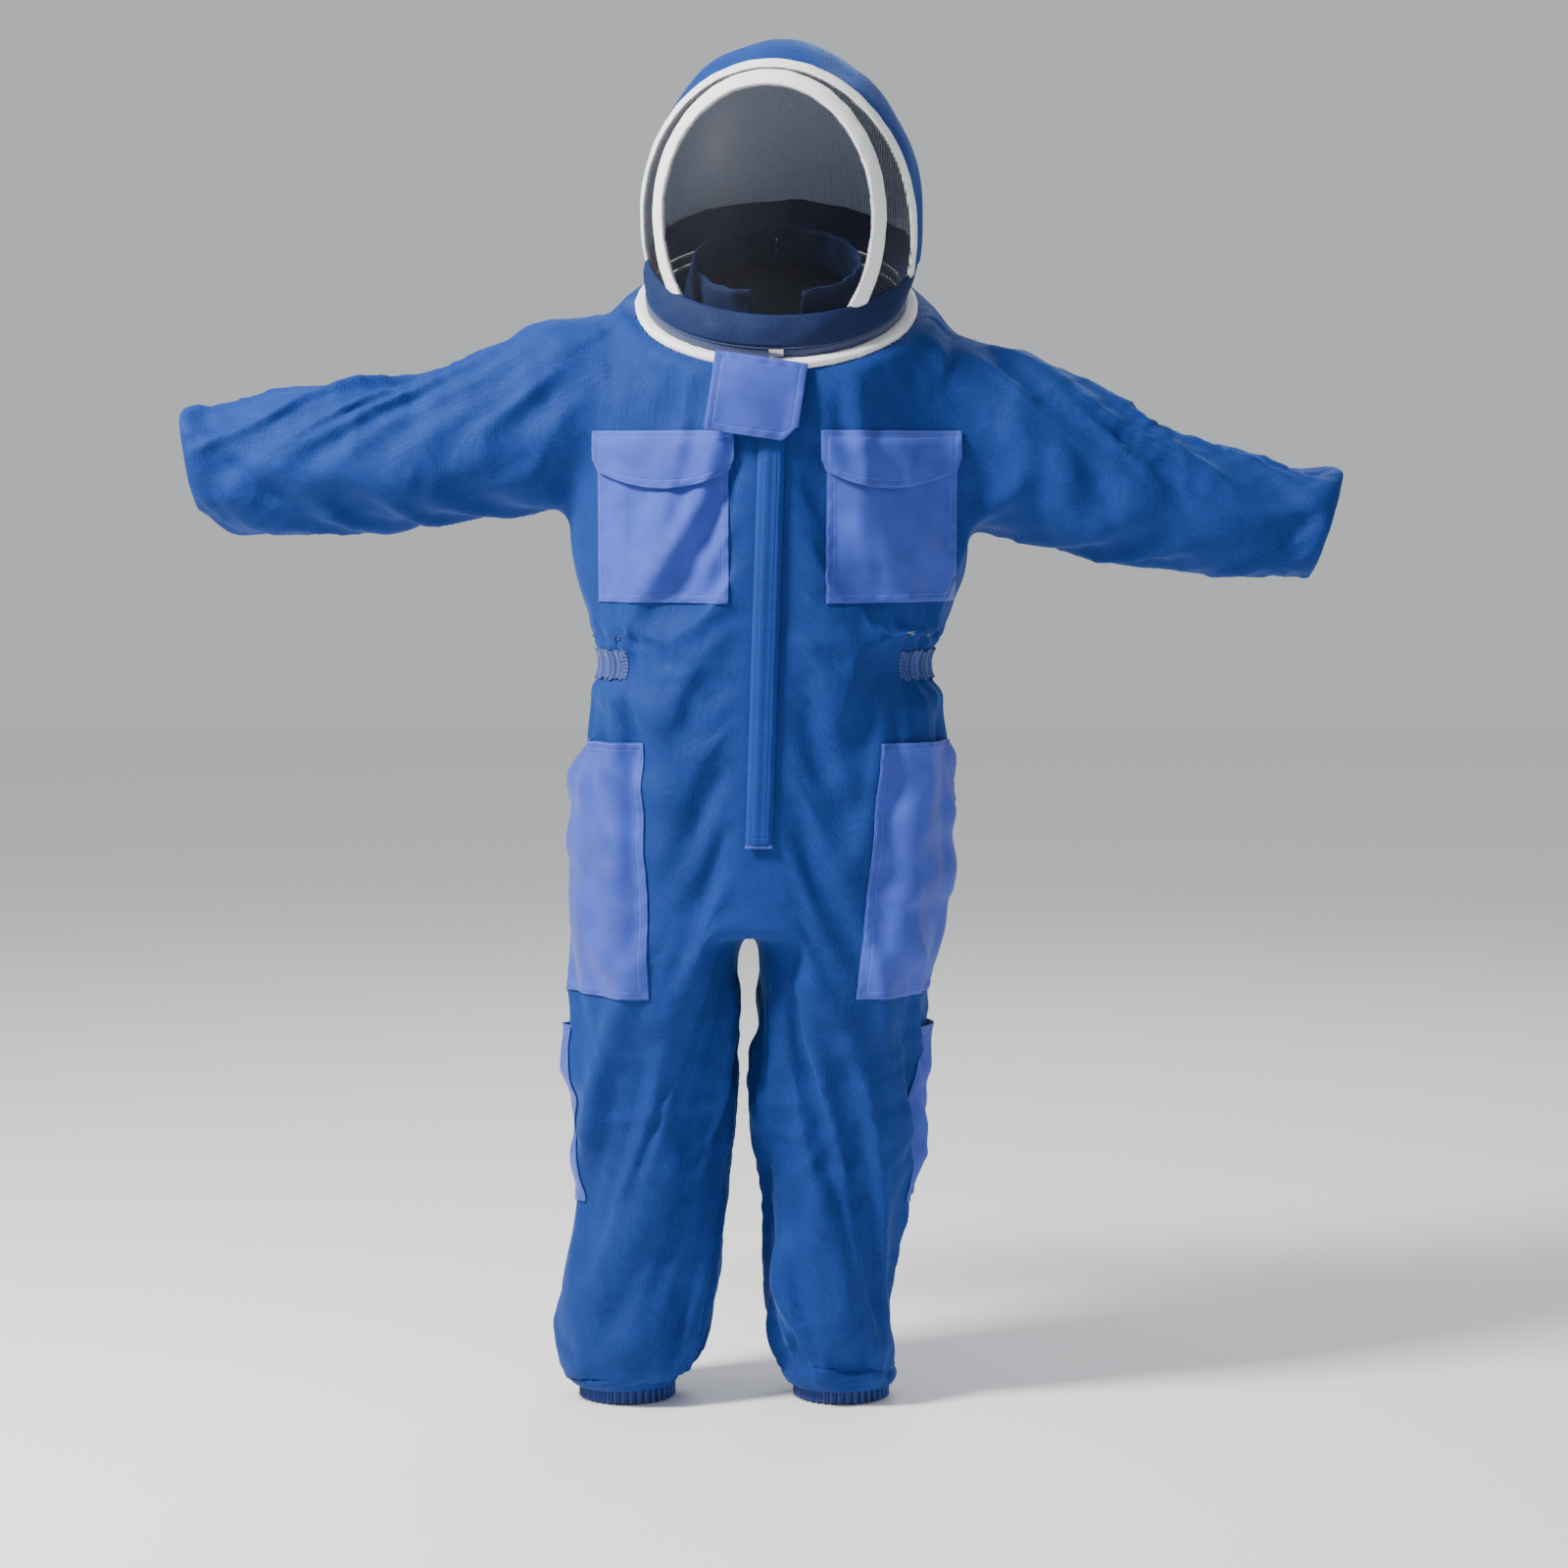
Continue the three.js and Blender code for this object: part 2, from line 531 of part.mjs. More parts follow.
/** Patch pockets on the chest, their buttonless flaps and the hook-and-loop strips that hold them shut. */
function chestPockets() {
  const patch = layer([trunkForm], SEAM, COTTON);
  const lid = layer([trunkForm], CHEST_FLAP.lift + SEAM, CHEST_FLAP.lift + COTTON);
  const strap = layer([trunkForm], COTTON + SEAM, CHEST_FLAP.lift);
  for (const side of [LEFT, RIGHT]) {
    const name = sideName[side];
    const sleeveRoot = arm(side, SEAM);
    const middle = centreX(CHEST_POCKET.high);
    const over = (x0, x1, low, high) => {
      const [a, b] = [middle + side * x0, middle + side * x1].sort((p, q) => p - q);
      return block([a, -FAR, low], [b, 0, high]);
    };
    const { low, high, wide } = CHEST_POCKET;
    const inner = CHEST_POCKET.inner[side];
    const outer = inner + wide;
    piece(`chest_pocket_${name}`, toGeometry(largest(patch.intersect(over(inner, outer, low, high)).subtract(sleeveRoot))), POPLIN, body);
    const { margin, drop, belly, high: top } = CHEST_FLAP;
    const hem = steps(-1, 1, 8).map((across) => [
      middle + side * THREE.MathUtils.mapLinear(across, -1, 1, inner - margin, outer + margin),
      top - drop - belly * (1 - across ** 2),
    ]);
    const outline = [...hem, [hem.at(-1)[0], top], [hem[0][0], top]];
    piece(`chest_flap_${name}`, toGeometry(largest(lid.intersect(prism(outline, -FAR, 0)).subtract(sleeveRoot))), POPLIN, body);
    const tape = over(inner + TAPE_INSET, outer - TAPE_INSET, high - TAPE_LOW, high - TAPE_HIGH);
    piece(`pocket_loop_tape_${name}`, toGeometry(strap.intersect(tape)), HOOK, body);
  }
}

/** Long patch pockets over the hips and the tool pockets beside the knees. */
function trouserPockets() {
  for (const side of [LEFT, RIGHT]) {
    const name = sideName[side];
    const under = { ...trunkForm, from: CROTCH - trunkStep, rows: trunkForm.rows + 1 };
    const patch = layer([under, legForm(side)], SEAM, COTTON);
    const middle = centreX(CROTCH);
    const outline = [
      [middle + side * HIP_POCKET.foot[side], HIP_POCKET.low],
      [side * FAR, HIP_POCKET.low],
      [side * FAR, HIP_POCKET.high],
      [middle + side * HIP_POCKET.top[side], HIP_POCKET.high],
    ];
    const sheet = patch.intersect(prism(outline, -FAR, HIP_POCKET.back));
    piece(`hip_pocket_${name}`, toGeometry(largest(sheet)), POPLIN, body);
    const wrap = layer([legForm(side)], SEAM, COTTON);
    const edge = side * (Math.abs(reading(LEGS[side].stations, LEG_POCKET.low, "x")) + LEG_POCKET.inner);
    const low = [Math.min(edge, side * FAR), LEG_POCKET.front, LEG_POCKET.low];
    const high = [Math.max(edge, side * FAR), FAR, LEG_POCKET.high];
    piece(`tool_pocket_${name}`, toGeometry(largest(wrap.intersect(block(low, high)))), POPLIN, body);
  }
}

/** A zip slider with its pull, lying on the chain and hanging from it towards -Z. */
function zipSlider() {
  const carriage = solid(box(SLIDER.wide, SLIDER.thick, SLIDER.long));
  const tab = box(SLIDER.pullWide, SLIDER.pullThick, SLIDER.pull).translate(0, -SLIDER.thick / 2 + 0.4, -SLIDER.pull / 2);
  return toGeometry(carriage.add(solid(tab)));
}

/** The front zip in its storm flap. Its own frame has +Z up the zip. */
function frontZip() {
  const frame = new THREE.Group();
  frame.position.set(centreX(ZIP.low), -FRONT, ZIP.low);
  frame.rotation.y = Math.atan(LEAN);
  body.add(frame);
  const length = ZIP.high - ZIP.low;
  const chain = box(ZIP.chain, ZIP.thick, length);
  piece("zip_chain", chain, NYLON, frame, { at: [0, -SEAM, length / 2] });
  const slide = { at: [0, -SEAM - ZIP.thick / 2 - SEAM - SLIDER.thick / 2, length - SLIDER.long / 2 - 4] };
  piece("zip_slider", zipSlider(), STEEL, frame, slide);
  const { half, inside, outside, edge } = STORM_FLAP;
  const outline = [
    [-half, -SEAM - ZIP.thick / 2],
    [-half + edge, -SEAM - ZIP.thick / 2],
    [-half + edge, -inside],
    [half, -inside],
    [half, -outside],
    [-half, -outside],
  ];
  const shape = new THREE.Shape(outline.map(([x, y]) => new THREE.Vector2(x, y)));
  const flap = new THREE.ExtrudeGeometry(shape, { depth: STORM_FLAP.high - STORM_FLAP.low, bevelEnabled: false });
  piece("storm_flap", closed(flap), AIR_MESH, frame);
  const tack = box(2 * half, 2.2, 5);
  piece("storm_flap_bartack", tack, POPLIN, frame, { at: [0, -inside + 1.1 + SEAM, -2.5 - SEAM] });
}

/** The white neckline binding, the hood zip on it and the stand collar inside. */
function neck() {
  const half = BINDING.wide / 2;
  const bound = { out: [-half, half], rise: [SEAM, BINDING.thick] };
  piece("neck_binding", ringBand(bound), WHITE, body);
  const tape = { out: [-half, -half + TAPE], rise: [BINDING.thick + SEAM, BINDING.thick + TAPE_RISE] };
  piece("hood_zip_tape_lower", ringBand(tape), NYLON, body);
  const chainLow = BINDING.thick + TAPE_RISE + SEAM;
  const chain = { out: [-half, -half + CHAIN], rise: [chainLow, chainLow + 2] };
  piece("hood_zip_chain", ringBand(chain), NYLON, body);
  const carriage = ringBand({
    out: [-half + CHAIN + SEAM, -half + CHAIN + SEAM + 4],
    rise: [BINDING.thick + 4, chainLow + 2],
    from: -3 * DEG,
    to: 3 * DEG,
    columns: 2,
  });
  piece("hood_zip_slider", carriage, STEEL, body);
  const { radius, thick, low, high, gape, taper } = COLLAR;
  const foot = radius - RING_RADIUS;
  const profile = [
    [foot - thick, low],
    [foot, low],
    [foot - taper, high],
    [foot - taper - thick, high],
  ];
  for (const side of [LEFT, RIGHT]) {
    const [from, to] = [side * gape, side * (Math.PI - COLLAR_SEAM)].sort((p, q) => p - q);
    piece(`stand_collar_${sideName[side]}`, ringSweep(profile, { from, to, columns: 14 }), AIR_MESH, body);
  }
  const shelf = ringBand({ out: [COLLAR.radius - RING_RADIUS - COLLAR.thick, -half - SEAM], rise: [COLLAR.low - SEAM - 3, COLLAR.low - SEAM] });
  piece("neck_facing", shelf, NAVY, body);
}

/** The square hook-and-loop flap over the meeting of the two zips. */
function neckFlap() {
  const frame = new THREE.Group();
  const top = onRing(0, BINDING.wide / 2, BINDING.thick);
  frame.position.set(top.x + NECK_FLAP.aside, top.y - 4 * SEAM, top.z + NECK_FLAP.above);
  frame.rotation.y = NECK_FLAP.turn;
  body.add(frame);
  const { wide, high, thick, bow, clip } = NECK_FLAP;
  const bend = (x) => bow * (2 * x / wide) ** 2;
  const foot = (x) => -high + Math.max(0, x - (wide / 2 - clip)) * 0.9;
  const sections = steps(-wide / 2, wide / 2, 12).map((x) => {
    const rise = steps(foot(x), 0, 4);
    const fall = (z) => -NECK_FLAP.stand * THREE.MathUtils.smoothstep(-z, 0, NECK_FLAP.over);
    const face = rise.map((z) => new THREE.Vector3(x, bend(x) + fall(z) - thick, z));
    const back = rise.map((z) => new THREE.Vector3(x, bend(x) + fall(z), z)).reverse();
    return [...face, ...back];
  });
  piece("neck_flap", capped(sections), POPLIN, frame);
}

// ---------------------------------------------------------------- hood
const domeCentre = new THREE.Vector3(RING_CENTRE.x + 8, 0, DOME.z);
const yaw = new THREE.Quaternion().setFromAxisAngle(new THREE.Vector3(0, 0, 1), -HOOD_YAW);

/** How far out of the dome a point in the hood's own frame lies: 1 on its surface. */
function domeLevel(p, grow) {
  const deep = (p.y < 0 ? DOME.front : DOME.back) + grow;
  const tall = (p.z > 0 ? DOME.up : DOME.down) + grow;
  return (p.x / (DOME.side + grow)) ** 2 + (p.y / deep) ** 2 + (p.z / tall) ** 2;
}

/** Where a ray from inside the dome leaves it, in the hood's own frame. */
function leaveDome(origin, direction, grow = 0) {
  let near = 0;
  let far = 600;
  for (let i = 0; i < 40; i++) {
    const middle = (near + far) / 2;
    if (domeLevel(origin.clone().addScaledVector(direction, middle), grow) < 1) near = middle;
    else far = middle;
  }
  return origin.clone().addScaledVector(direction, near);
}

/** The dome as a solid, in the suit's frame. */
function domeSolid(grow) {
  const rings = 9;
  const columns = 24;
  const sections = steps(-80 * DEG, 88.5 * DEG, rings).map((lift) =>
    steps(0, 2 * Math.PI, columns)
      .slice(0, -1)
      .map((turn) => {
        const aim = new THREE.Vector3(
          Math.cos(lift) * Math.sin(turn),
          -Math.cos(lift) * Math.cos(turn),
          Math.sin(lift),
        );
        return leaveDome(new THREE.Vector3(), aim, grow).applyQuaternion(yaw).add(domeCentre);
      }),
  );
  return solid(capped(sections));
}

/** A hoop's arch over the dome, in its own plane, as points in the hood's frame with their outward directions. */
function archPoints(hoop, count) {
  const origin = new THREE.Vector3(0, hoop.y, hoop.z - DOME.z);
  const up = new THREE.Vector3(0, Math.sin(hoop.tilt), Math.cos(hoop.tilt));
  const across = new THREE.Vector3(1, 0, 0);
  const drop = Math.acos(-1) * 0.5;
  const low = (hoop.z - hoop.clip) / 200;
  const reach = drop + Math.asin(Math.min(0.95, low)) + 6 * DEG;
  return steps(-reach, reach, count).map((turn) => {
    const aim = across.clone().multiplyScalar(Math.sin(turn)).addScaledVector(up, Math.cos(turn));
    return { point: leaveDome(origin, aim), out: aim, across: new THREE.Vector3().crossVectors(across, up) };
  });
}

/** A hoop of white binding over its boning, grown by a clearance when it is the cutter for its neighbours. */
function hoopSolid(hoop, grow = 0) {
  const wide = hoop.wide / 2 + grow;
  const thick = HOOP.thick / 2 + grow;
  const sections = archPoints(hoop, 26).map(({ point, out, across }) =>
    steps(0, 2 * Math.PI, HOOP.sides)
      .slice(0, -1)
      .map((a) =>
        point
          .clone()
          .addScaledVector(across, wide * Math.cos(a))
          .addScaledVector(out, thick * Math.sin(a))
          .applyQuaternion(yaw)
          .add(domeCentre),
      ),
  );
  return solid(capped(sections));
}

/** Half of space in front of a hoop's plane, as a large block. */
function beforePlane(hoop) {
  const size = 900;
  const block = new THREE.BoxGeometry(size, size, size).translate(0, -size / 2, 0);
  const matrix = new THREE.Matrix4().makeRotationX(-hoop.tilt);
  matrix.setPosition(0, hoop.y, hoop.z - DOME.z);
  block.applyMatrix4(matrix).applyQuaternion(yaw).translate(domeCentre.x, domeCentre.y, domeCentre.z);
  return solid(block);
}

/** Half of space above the neck ring's plane raised by a height. */
function aboveRing(rise) {
  const size = 900;
  const block = new THREE.BoxGeometry(size, size, size).translate(0, 0, size / 2 + rise);
  block.applyMatrix4(new THREE.Matrix4().makeRotationX(RING_TILT));
  return solid(block.translate(RING_CENTRE.x, RING_CENTRE.y, RING_CENTRE.z));
}

/** The dome's reach from the ring's axis at a height above the ring. */
function domeReach(turn, rise, grow) {
  const unyaw = yaw.clone().invert();
  const start = onRing(turn, -RING_RADIUS, rise);
  const aim = onRing(turn, 0, rise).sub(start).normalize().applyQuaternion(unyaw);
  const origin = start.sub(domeCentre).applyQuaternion(unyaw);
  return leaveDome(origin, aim, grow).sub(origin).length();
}

/** The veiled hood: crown cloth, netting, two hoops, and the yoke that joins them to the neck zip. */
function hood() {
  const base = BINDING.thick + TAPE_RISE + 2 + 3 * SEAM;
  const top = base + YOKE_RISE;
  const open = aboveRing(top + SEAM);
  const hoops = [FACE_HOOP, CROWN_HOOP].map((hoop) => hoopSolid(hoop).intersect(open));
  const slots = [FACE_HOOP, CROWN_HOOP].map((hoop) => hoopSolid(hoop, SEAM));
  const shell = (thick) =>
    domeSolid(0).subtract(domeSolid(-thick)).intersect(open).subtract(slots[0]).subtract(slots[1]);
  const inFront = beforePlane(FACE_HOOP);
  const inCrown = beforePlane(CROWN_HOOP);
  const net = shell(NET);
  piece("face_veil", toGeometry(largest(net.intersect(inFront))), NETTING, body);
  piece("side_veil", toGeometry(largest(net.intersect(inCrown).subtract(inFront))), NETTING, body);
  piece("hood_crown", toGeometry(largest(shell(WALL).subtract(inCrown))), AIR_MESH, body);
  piece("face_hoop", toGeometry(largest(hoops[0])), WHITE, body);
  piece("crown_hoop", toGeometry(largest(hoops[1])), WHITE, body);
  const ring = -BINDING.wide / 2;
  const form = (at, turn) => {
    const share = (at - base) / YOKE_RISE;
    const reach = THREE.MathUtils.lerp(RING_RADIUS + ring + TAPE, domeReach(turn, top, 0), share);
    return onRing(turn, reach - RING_RADIUS, at);
  };
  const spare = 5;
  const yoke = solid(tube(form, { from: base - spare, to: top + spare, inner: -3, rows: 2, columns: 28 }));
  const between = aboveRing(base).subtract(aboveRing(top));
  piece("hood_yoke", toGeometry(yoke.intersect(between)), NAVY, body);
}

bodyPanels();
waistElastic();
seat();
trouserLeg(LEFT);
trouserLeg(RIGHT);
sleeveParts(LEFT);
sleeveParts(RIGHT);
chestPockets();
trouserPockets();
frontZip();
neck();
neckFlap();
hood();

export default suit;
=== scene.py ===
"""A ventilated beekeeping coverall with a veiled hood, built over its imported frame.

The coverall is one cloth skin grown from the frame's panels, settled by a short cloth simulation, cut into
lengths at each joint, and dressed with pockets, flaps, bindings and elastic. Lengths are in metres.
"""

import json
import logging
import math
from collections.abc import Callable, Iterable, Sequence
from dataclasses import dataclass, field
from enum import Enum

import bmesh
import bpy
from mathutils import Matrix, Vector, noise
from mathutils.bvhtree import BVHTree


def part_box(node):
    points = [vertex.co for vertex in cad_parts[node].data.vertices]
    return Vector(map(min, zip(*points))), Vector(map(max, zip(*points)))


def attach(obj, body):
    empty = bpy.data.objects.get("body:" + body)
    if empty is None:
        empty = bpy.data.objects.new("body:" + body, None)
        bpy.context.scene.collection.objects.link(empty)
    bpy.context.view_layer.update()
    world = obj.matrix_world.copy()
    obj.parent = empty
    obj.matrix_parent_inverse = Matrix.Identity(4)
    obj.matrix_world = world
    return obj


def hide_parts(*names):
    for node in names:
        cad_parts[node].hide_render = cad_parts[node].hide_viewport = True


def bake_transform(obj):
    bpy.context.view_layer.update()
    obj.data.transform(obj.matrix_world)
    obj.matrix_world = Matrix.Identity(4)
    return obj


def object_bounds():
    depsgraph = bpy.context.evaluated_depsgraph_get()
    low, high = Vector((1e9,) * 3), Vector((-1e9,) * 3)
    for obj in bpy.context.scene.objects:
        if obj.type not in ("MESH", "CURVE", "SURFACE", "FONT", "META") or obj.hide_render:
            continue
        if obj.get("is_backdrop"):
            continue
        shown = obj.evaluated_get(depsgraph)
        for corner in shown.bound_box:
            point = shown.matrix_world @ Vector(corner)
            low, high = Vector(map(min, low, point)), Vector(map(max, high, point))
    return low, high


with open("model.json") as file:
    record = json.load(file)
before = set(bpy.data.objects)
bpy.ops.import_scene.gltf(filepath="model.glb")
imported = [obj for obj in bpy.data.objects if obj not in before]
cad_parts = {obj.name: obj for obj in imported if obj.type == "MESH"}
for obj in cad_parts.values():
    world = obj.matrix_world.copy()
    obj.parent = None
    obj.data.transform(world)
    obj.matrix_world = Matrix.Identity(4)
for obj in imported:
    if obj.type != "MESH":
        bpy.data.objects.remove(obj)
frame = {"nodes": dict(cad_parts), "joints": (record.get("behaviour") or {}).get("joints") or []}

LOG = logging.getLogger("beekeeping_suit")
RADIAN = math.pi / 180


class Side(Enum):
    """The wearer's side a piece is on, by the sign of X."""

    RIGHT = -1
    LEFT = 1

    @property
    def word(self) -> str:
        """The side's name as the frame spells it."""
        return self.name.lower()


# ------------------------------------------------------------------ shader groups


class ShaderGroup:
    """A node group with named inputs and outputs, and short ways to add its nodes."""

    def __init__(self, name: str, inputs: dict[str, float | tuple], outputs: dict[str, str]) -> None:
        """Opens the group.

        Args:
            name: the group's name.
            inputs: each input's name and default, a number, a colour of four or a vector of three.
            outputs: each output's name and socket type.
        """
        self.tree = bpy.data.node_groups.new(name, "ShaderNodeTree")
        for label, value in inputs.items():
            kind = "NodeSocketFloat"
            if isinstance(value, tuple):
                kind = "NodeSocketColor" if len(value) == 4 else "NodeSocketVector"
            socket = self.tree.interface.new_socket(name=label, in_out="INPUT", socket_type=kind)
            if kind != "NodeSocketVector":
                socket.default_value = value
        for label, kind in outputs.items():
            self.tree.interface.new_socket(name=label, in_out="OUTPUT", socket_type=kind)
        self.source = self.tree.nodes.new("NodeGroupInput")
        self.sink = self.tree.nodes.new("NodeGroupOutput")

    def given(self, label: str) -> bpy.types.NodeSocket:
        """An input socket as the group's inside sees it."""
        return self.source.outputs[label]

    def gives(self, label: str, socket: bpy.types.NodeSocket) -> None:
        """Joins a socket to one of the group's outputs."""
        self.tree.links.new(socket, self.sink.inputs[label])


def put(socket: bpy.types.NodeSocket, value: object, tree: bpy.types.NodeTree) -> None:
    """Links or sets a node's input.

    Args:
        socket: the input.
        value: another node's output, or a plain value.
        tree: the tree both are in.
    """
    if isinstance(value, bpy.types.NodeSocket):
        tree.links.new(value, socket)
    else:
        socket.default_value = value


def maths(tree: bpy.types.NodeTree, operation: str, *values: object, clamp: bool = False) -> bpy.types.NodeSocket:
    """Adds a Math node.

    Args:
        tree: where it goes.
        operation: the operation's name.
        values: its inputs, as numbers or sockets.
        clamp: keeps the result from 0 to 1.

    Returns:
        Its value.
    """
    node = tree.nodes.new("ShaderNodeMath")
    node.operation = operation
    node.use_clamp = clamp
    for socket, value in zip(node.inputs, values):
        put(socket, value, tree)
    return node.outputs[0]


def blend_colours(tree: bpy.types.NodeTree, share: object, first: object, second: object) -> bpy.types.NodeSocket:
    """Adds a colour mix.

    Args:
        tree: where it goes.
        share: how much of the second colour.
        first: the first colour.
        second: the second colour.

    Returns:
        The mixed colour.
    """
    node = tree.nodes.new("ShaderNodeMix")
    node.data_type = "RGBA"
    put(node.inputs[0], share, tree)
    put(node.inputs[6], first, tree)
    put(node.inputs[7], second, tree)
    return node.outputs[2]


def noise_value(
    tree: bpy.types.NodeTree, place: bpy.types.NodeSocket, scale: float, detail: float = 2.0
) -> bpy.types.NodeSocket:
    """Adds a noise texture.

    Args:
        tree: where it goes.
        place: the coordinates it reads.
        scale: its frequency per metre.
        detail: its octaves.

    Returns:
        Its value, about 0.5 in the middle.
    """
    node = tree.nodes.new("ShaderNodeTexNoise")
    put(node.inputs["Vector"], place, tree)
    node.inputs["Scale"].default_value = scale
    node.inputs["Detail"].default_value = detail
    return node.outputs[0]


def cell_cloth_group() -> bpy.types.NodeTree:
    """Builds the open cell face of spacer mesh: small dark cells in a lighter knit, with slow shifts of tone.

    Returns:
        The group.
    """
    group = ShaderGroup(
        "SpacerMesh",
        {"Place": (0, 0, 0), "Colour": (0.1, 0.1, 0.1, 1), "Deep": (0, 0, 0, 1), "Cells": 330.0, "Tone": 0.3},
        {"Colour": "NodeSocketColor", "Height": "NodeSocketFloat", "Roughness": "NodeSocketFloat"},
    )
    tree = group.tree
    cells = tree.nodes.new("ShaderNodeTexVoronoi")
    cells.feature = "SMOOTH_F1"
    cells.inputs["Smoothness"].default_value = 0.25
    cells.inputs["Randomness"].default_value = 0.35
    put(cells.inputs["Vector"], group.given("Place"), tree)
    put(cells.inputs["Scale"], group.given("Cells"), tree)
    knit = maths(tree, "MULTIPLY", cells.outputs["Distance"], 1.5, clamp=True)
    slow = noise_value(tree, group.given("Place"), 5.0, 3.0)
    rub = noise_value(tree, group.given("Place"), 38.0, 4.0)
    tone = maths(tree, "MULTIPLY_ADD", slow, 1.6, -0.8)
    tone = maths(tree, "MULTIPLY_ADD", maths(tree, "SUBTRACT", rub, 0.5), 0.9, tone)
    share = maths(tree, "MULTIPLY_ADD", maths(tree, "MULTIPLY", tone, group.given("Tone")), 1.0, 0.28)
    share = maths(tree, "MULTIPLY_ADD", maths(tree, "SUBTRACT", 1.0, knit), 0.34, share, clamp=True)
    group.gives("Colour", blend_colours(tree, share, group.given("Colour"), group.given("Deep")))
    group.gives("Height", maths(tree, "MULTIPLY_ADD", rub, 0.5, knit))
    group.gives("Roughness", maths(tree, "MULTIPLY_ADD", rub, 0.2, 0.62, clamp=True))
    return tree


def woven_cloth_group() -> bpy.types.NodeTree:
    """Builds a plain weave on flat coordinates in metres, with creases and rubbed patches.

    Returns:
        The group.
    """
    group = ShaderGroup(
        "PlainWeave",
        {"Flat": (0, 0, 0), "Place": (0, 0, 0), "Colour": (0.1, 0.1, 0.1, 1), "Deep": (0, 0, 0, 1), "Threads": 1400.0},
        {"Colour": "NodeSocketColor", "Height": "NodeSocketFloat", "Roughness": "NodeSocketFloat"},
    )
    tree = group.tree
    split = tree.nodes.new("ShaderNodeSeparateXYZ")
    put(split.inputs[0], group.given("Flat"), tree)
    turn = maths(tree, "MULTIPLY", group.given("Threads"), 2 * math.pi)
    warp = maths(tree, "SINE", maths(tree, "MULTIPLY", split.outputs[0], turn))
    weft = maths(tree, "SINE", maths(tree, "MULTIPLY", split.outputs[1], turn))
    weave = maths(tree, "MULTIPLY_ADD", maths(tree, "MULTIPLY", warp, weft), 0.5, 0.5)
    crease = noise_value(tree, group.given("Place"), 24.0, 5.0)
    slow = noise_value(tree, group.given("Place"), 7.0, 2.0)
    share = maths(tree, "MULTIPLY_ADD", maths(tree, "SUBTRACT", crease, 0.5), 1.1, 0.3)
    share = maths(tree, "MULTIPLY_ADD", maths(tree, "SUBTRACT", slow, 0.5), 0.7, share)
    share = maths(tree, "MULTIPLY_ADD", weave, -0.12, share, clamp=True)
    group.gives("Colour", blend_colours(tree, share, group.given("Colour"), group.given("Deep")))
    group.gives("Height", maths(tree, "MULTIPLY_ADD", weave, 0.12, crease))
    group.gives("Roughness", maths(tree, "MULTIPLY_ADD", crease, 0.25, 0.5, clamp=True))
    return tree


def stitching_group() -> bpy.types.NodeTree:
    """Builds two rows of lockstitch along an edge, from coordinates that run along it and in from it.

    Returns:
        The group.
    """
    group = ShaderGroup(
        "Stitching",
        {"Edge": (0, 0, 0), "Near": 0.002, "Far": 0.008, "Pitch": 0.0034, "Thread": 0.00045},
        {"Mask": "NodeSocketFloat", "Sunk": "NodeSocketFloat"},
    )
    tree = group.tree
    split = tree.nodes.new("ShaderNodeSeparateXYZ")
    put(split.inputs[0], group.given("Edge"), tree)
    along, inward = split.outputs[0], split.outputs[1]
    beat = maths(tree, "FRACT", maths(tree, "DIVIDE", along, group.given("Pitch")))
    dash = maths(tree, "LESS_THAN", beat, 0.72)
    rows: list[bpy.types.NodeSocket] = []
    seams: list[bpy.types.NodeSocket] = []
    for label in ("Near", "Far"):
        off = maths(tree, "ABSOLUTE", maths(tree, "SUBTRACT", inward, group.given(label)))
        rows.append(maths(tree, "LESS_THAN", off, group.given("Thread")))
        seams.append(maths(tree, "SUBTRACT", 1.0, maths(tree, "DIVIDE", off, 0.0016), clamp=True))
    group.gives("Mask", maths(tree, "MULTIPLY", maths(tree, "MAXIMUM", *rows), dash))
    group.gives("Sunk", maths(tree, "MAXIMUM", *seams))
    return tree


def rib_group() -> bpy.types.NodeTree:
    """Builds gathered ribs that run across a band, from coordinates along it, with painted shade darkening the hollows
    between the ribs.

    Returns:
        The group.
    """
    group = ShaderGroup(
        "GatheredRib",
        {"Edge": (0, 0, 0), "Place": (0, 0, 0), "Colour": (0.1, 0.1, 0.1, 1), "Deep": (0, 0, 0, 1), "Ribs": 220.0},
        {"Colour": "NodeSocketColor", "Height": "NodeSocketFloat"},
    )
    tree = group.tree
    split = tree.nodes.new("ShaderNodeSeparateXYZ")
    put(split.inputs[0], group.given("Edge"), tree)
    wander = noise_value(tree, group.given("Place"), 60.0, 2.0)
    phase = maths(tree, "MULTIPLY_ADD", split.outputs[0], maths(tree, "MULTIPLY", group.given("Ribs"), 2 * math.pi), wander)
    rib = maths(tree, "MULTIPLY_ADD", maths(tree, "SINE", phase), 0.5, 0.5)
    # Painted shade: the colour goes to Deep in the hollows between the ribs, where the height is lowest.
    group.gives("Colour", blend_colours(tree, maths(tree, "SUBTRACT", 1.0, rib), group.given("Colour"), group.given("Deep")))
    group.gives("Height", maths(tree, "MULTIPLY_ADD", wander, 0.4, rib))
    return tree


class Groups:
    """The shared shader groups, each built once."""

    spacer: bpy.types.NodeTree
    weave: bpy.types.NodeTree
    stitching: bpy.types.NodeTree
    rib: bpy.types.NodeTree

    @classmethod
    def build(cls) -> None:
        """Builds every group."""
        cls.spacer = cell_cloth_group()
        cls.weave = woven_cloth_group()
        cls.stitching = stitching_group()
        cls.rib = rib_group()


# ------------------------------------------------------------------ finishes

Colour = tuple[float, float, float, float]


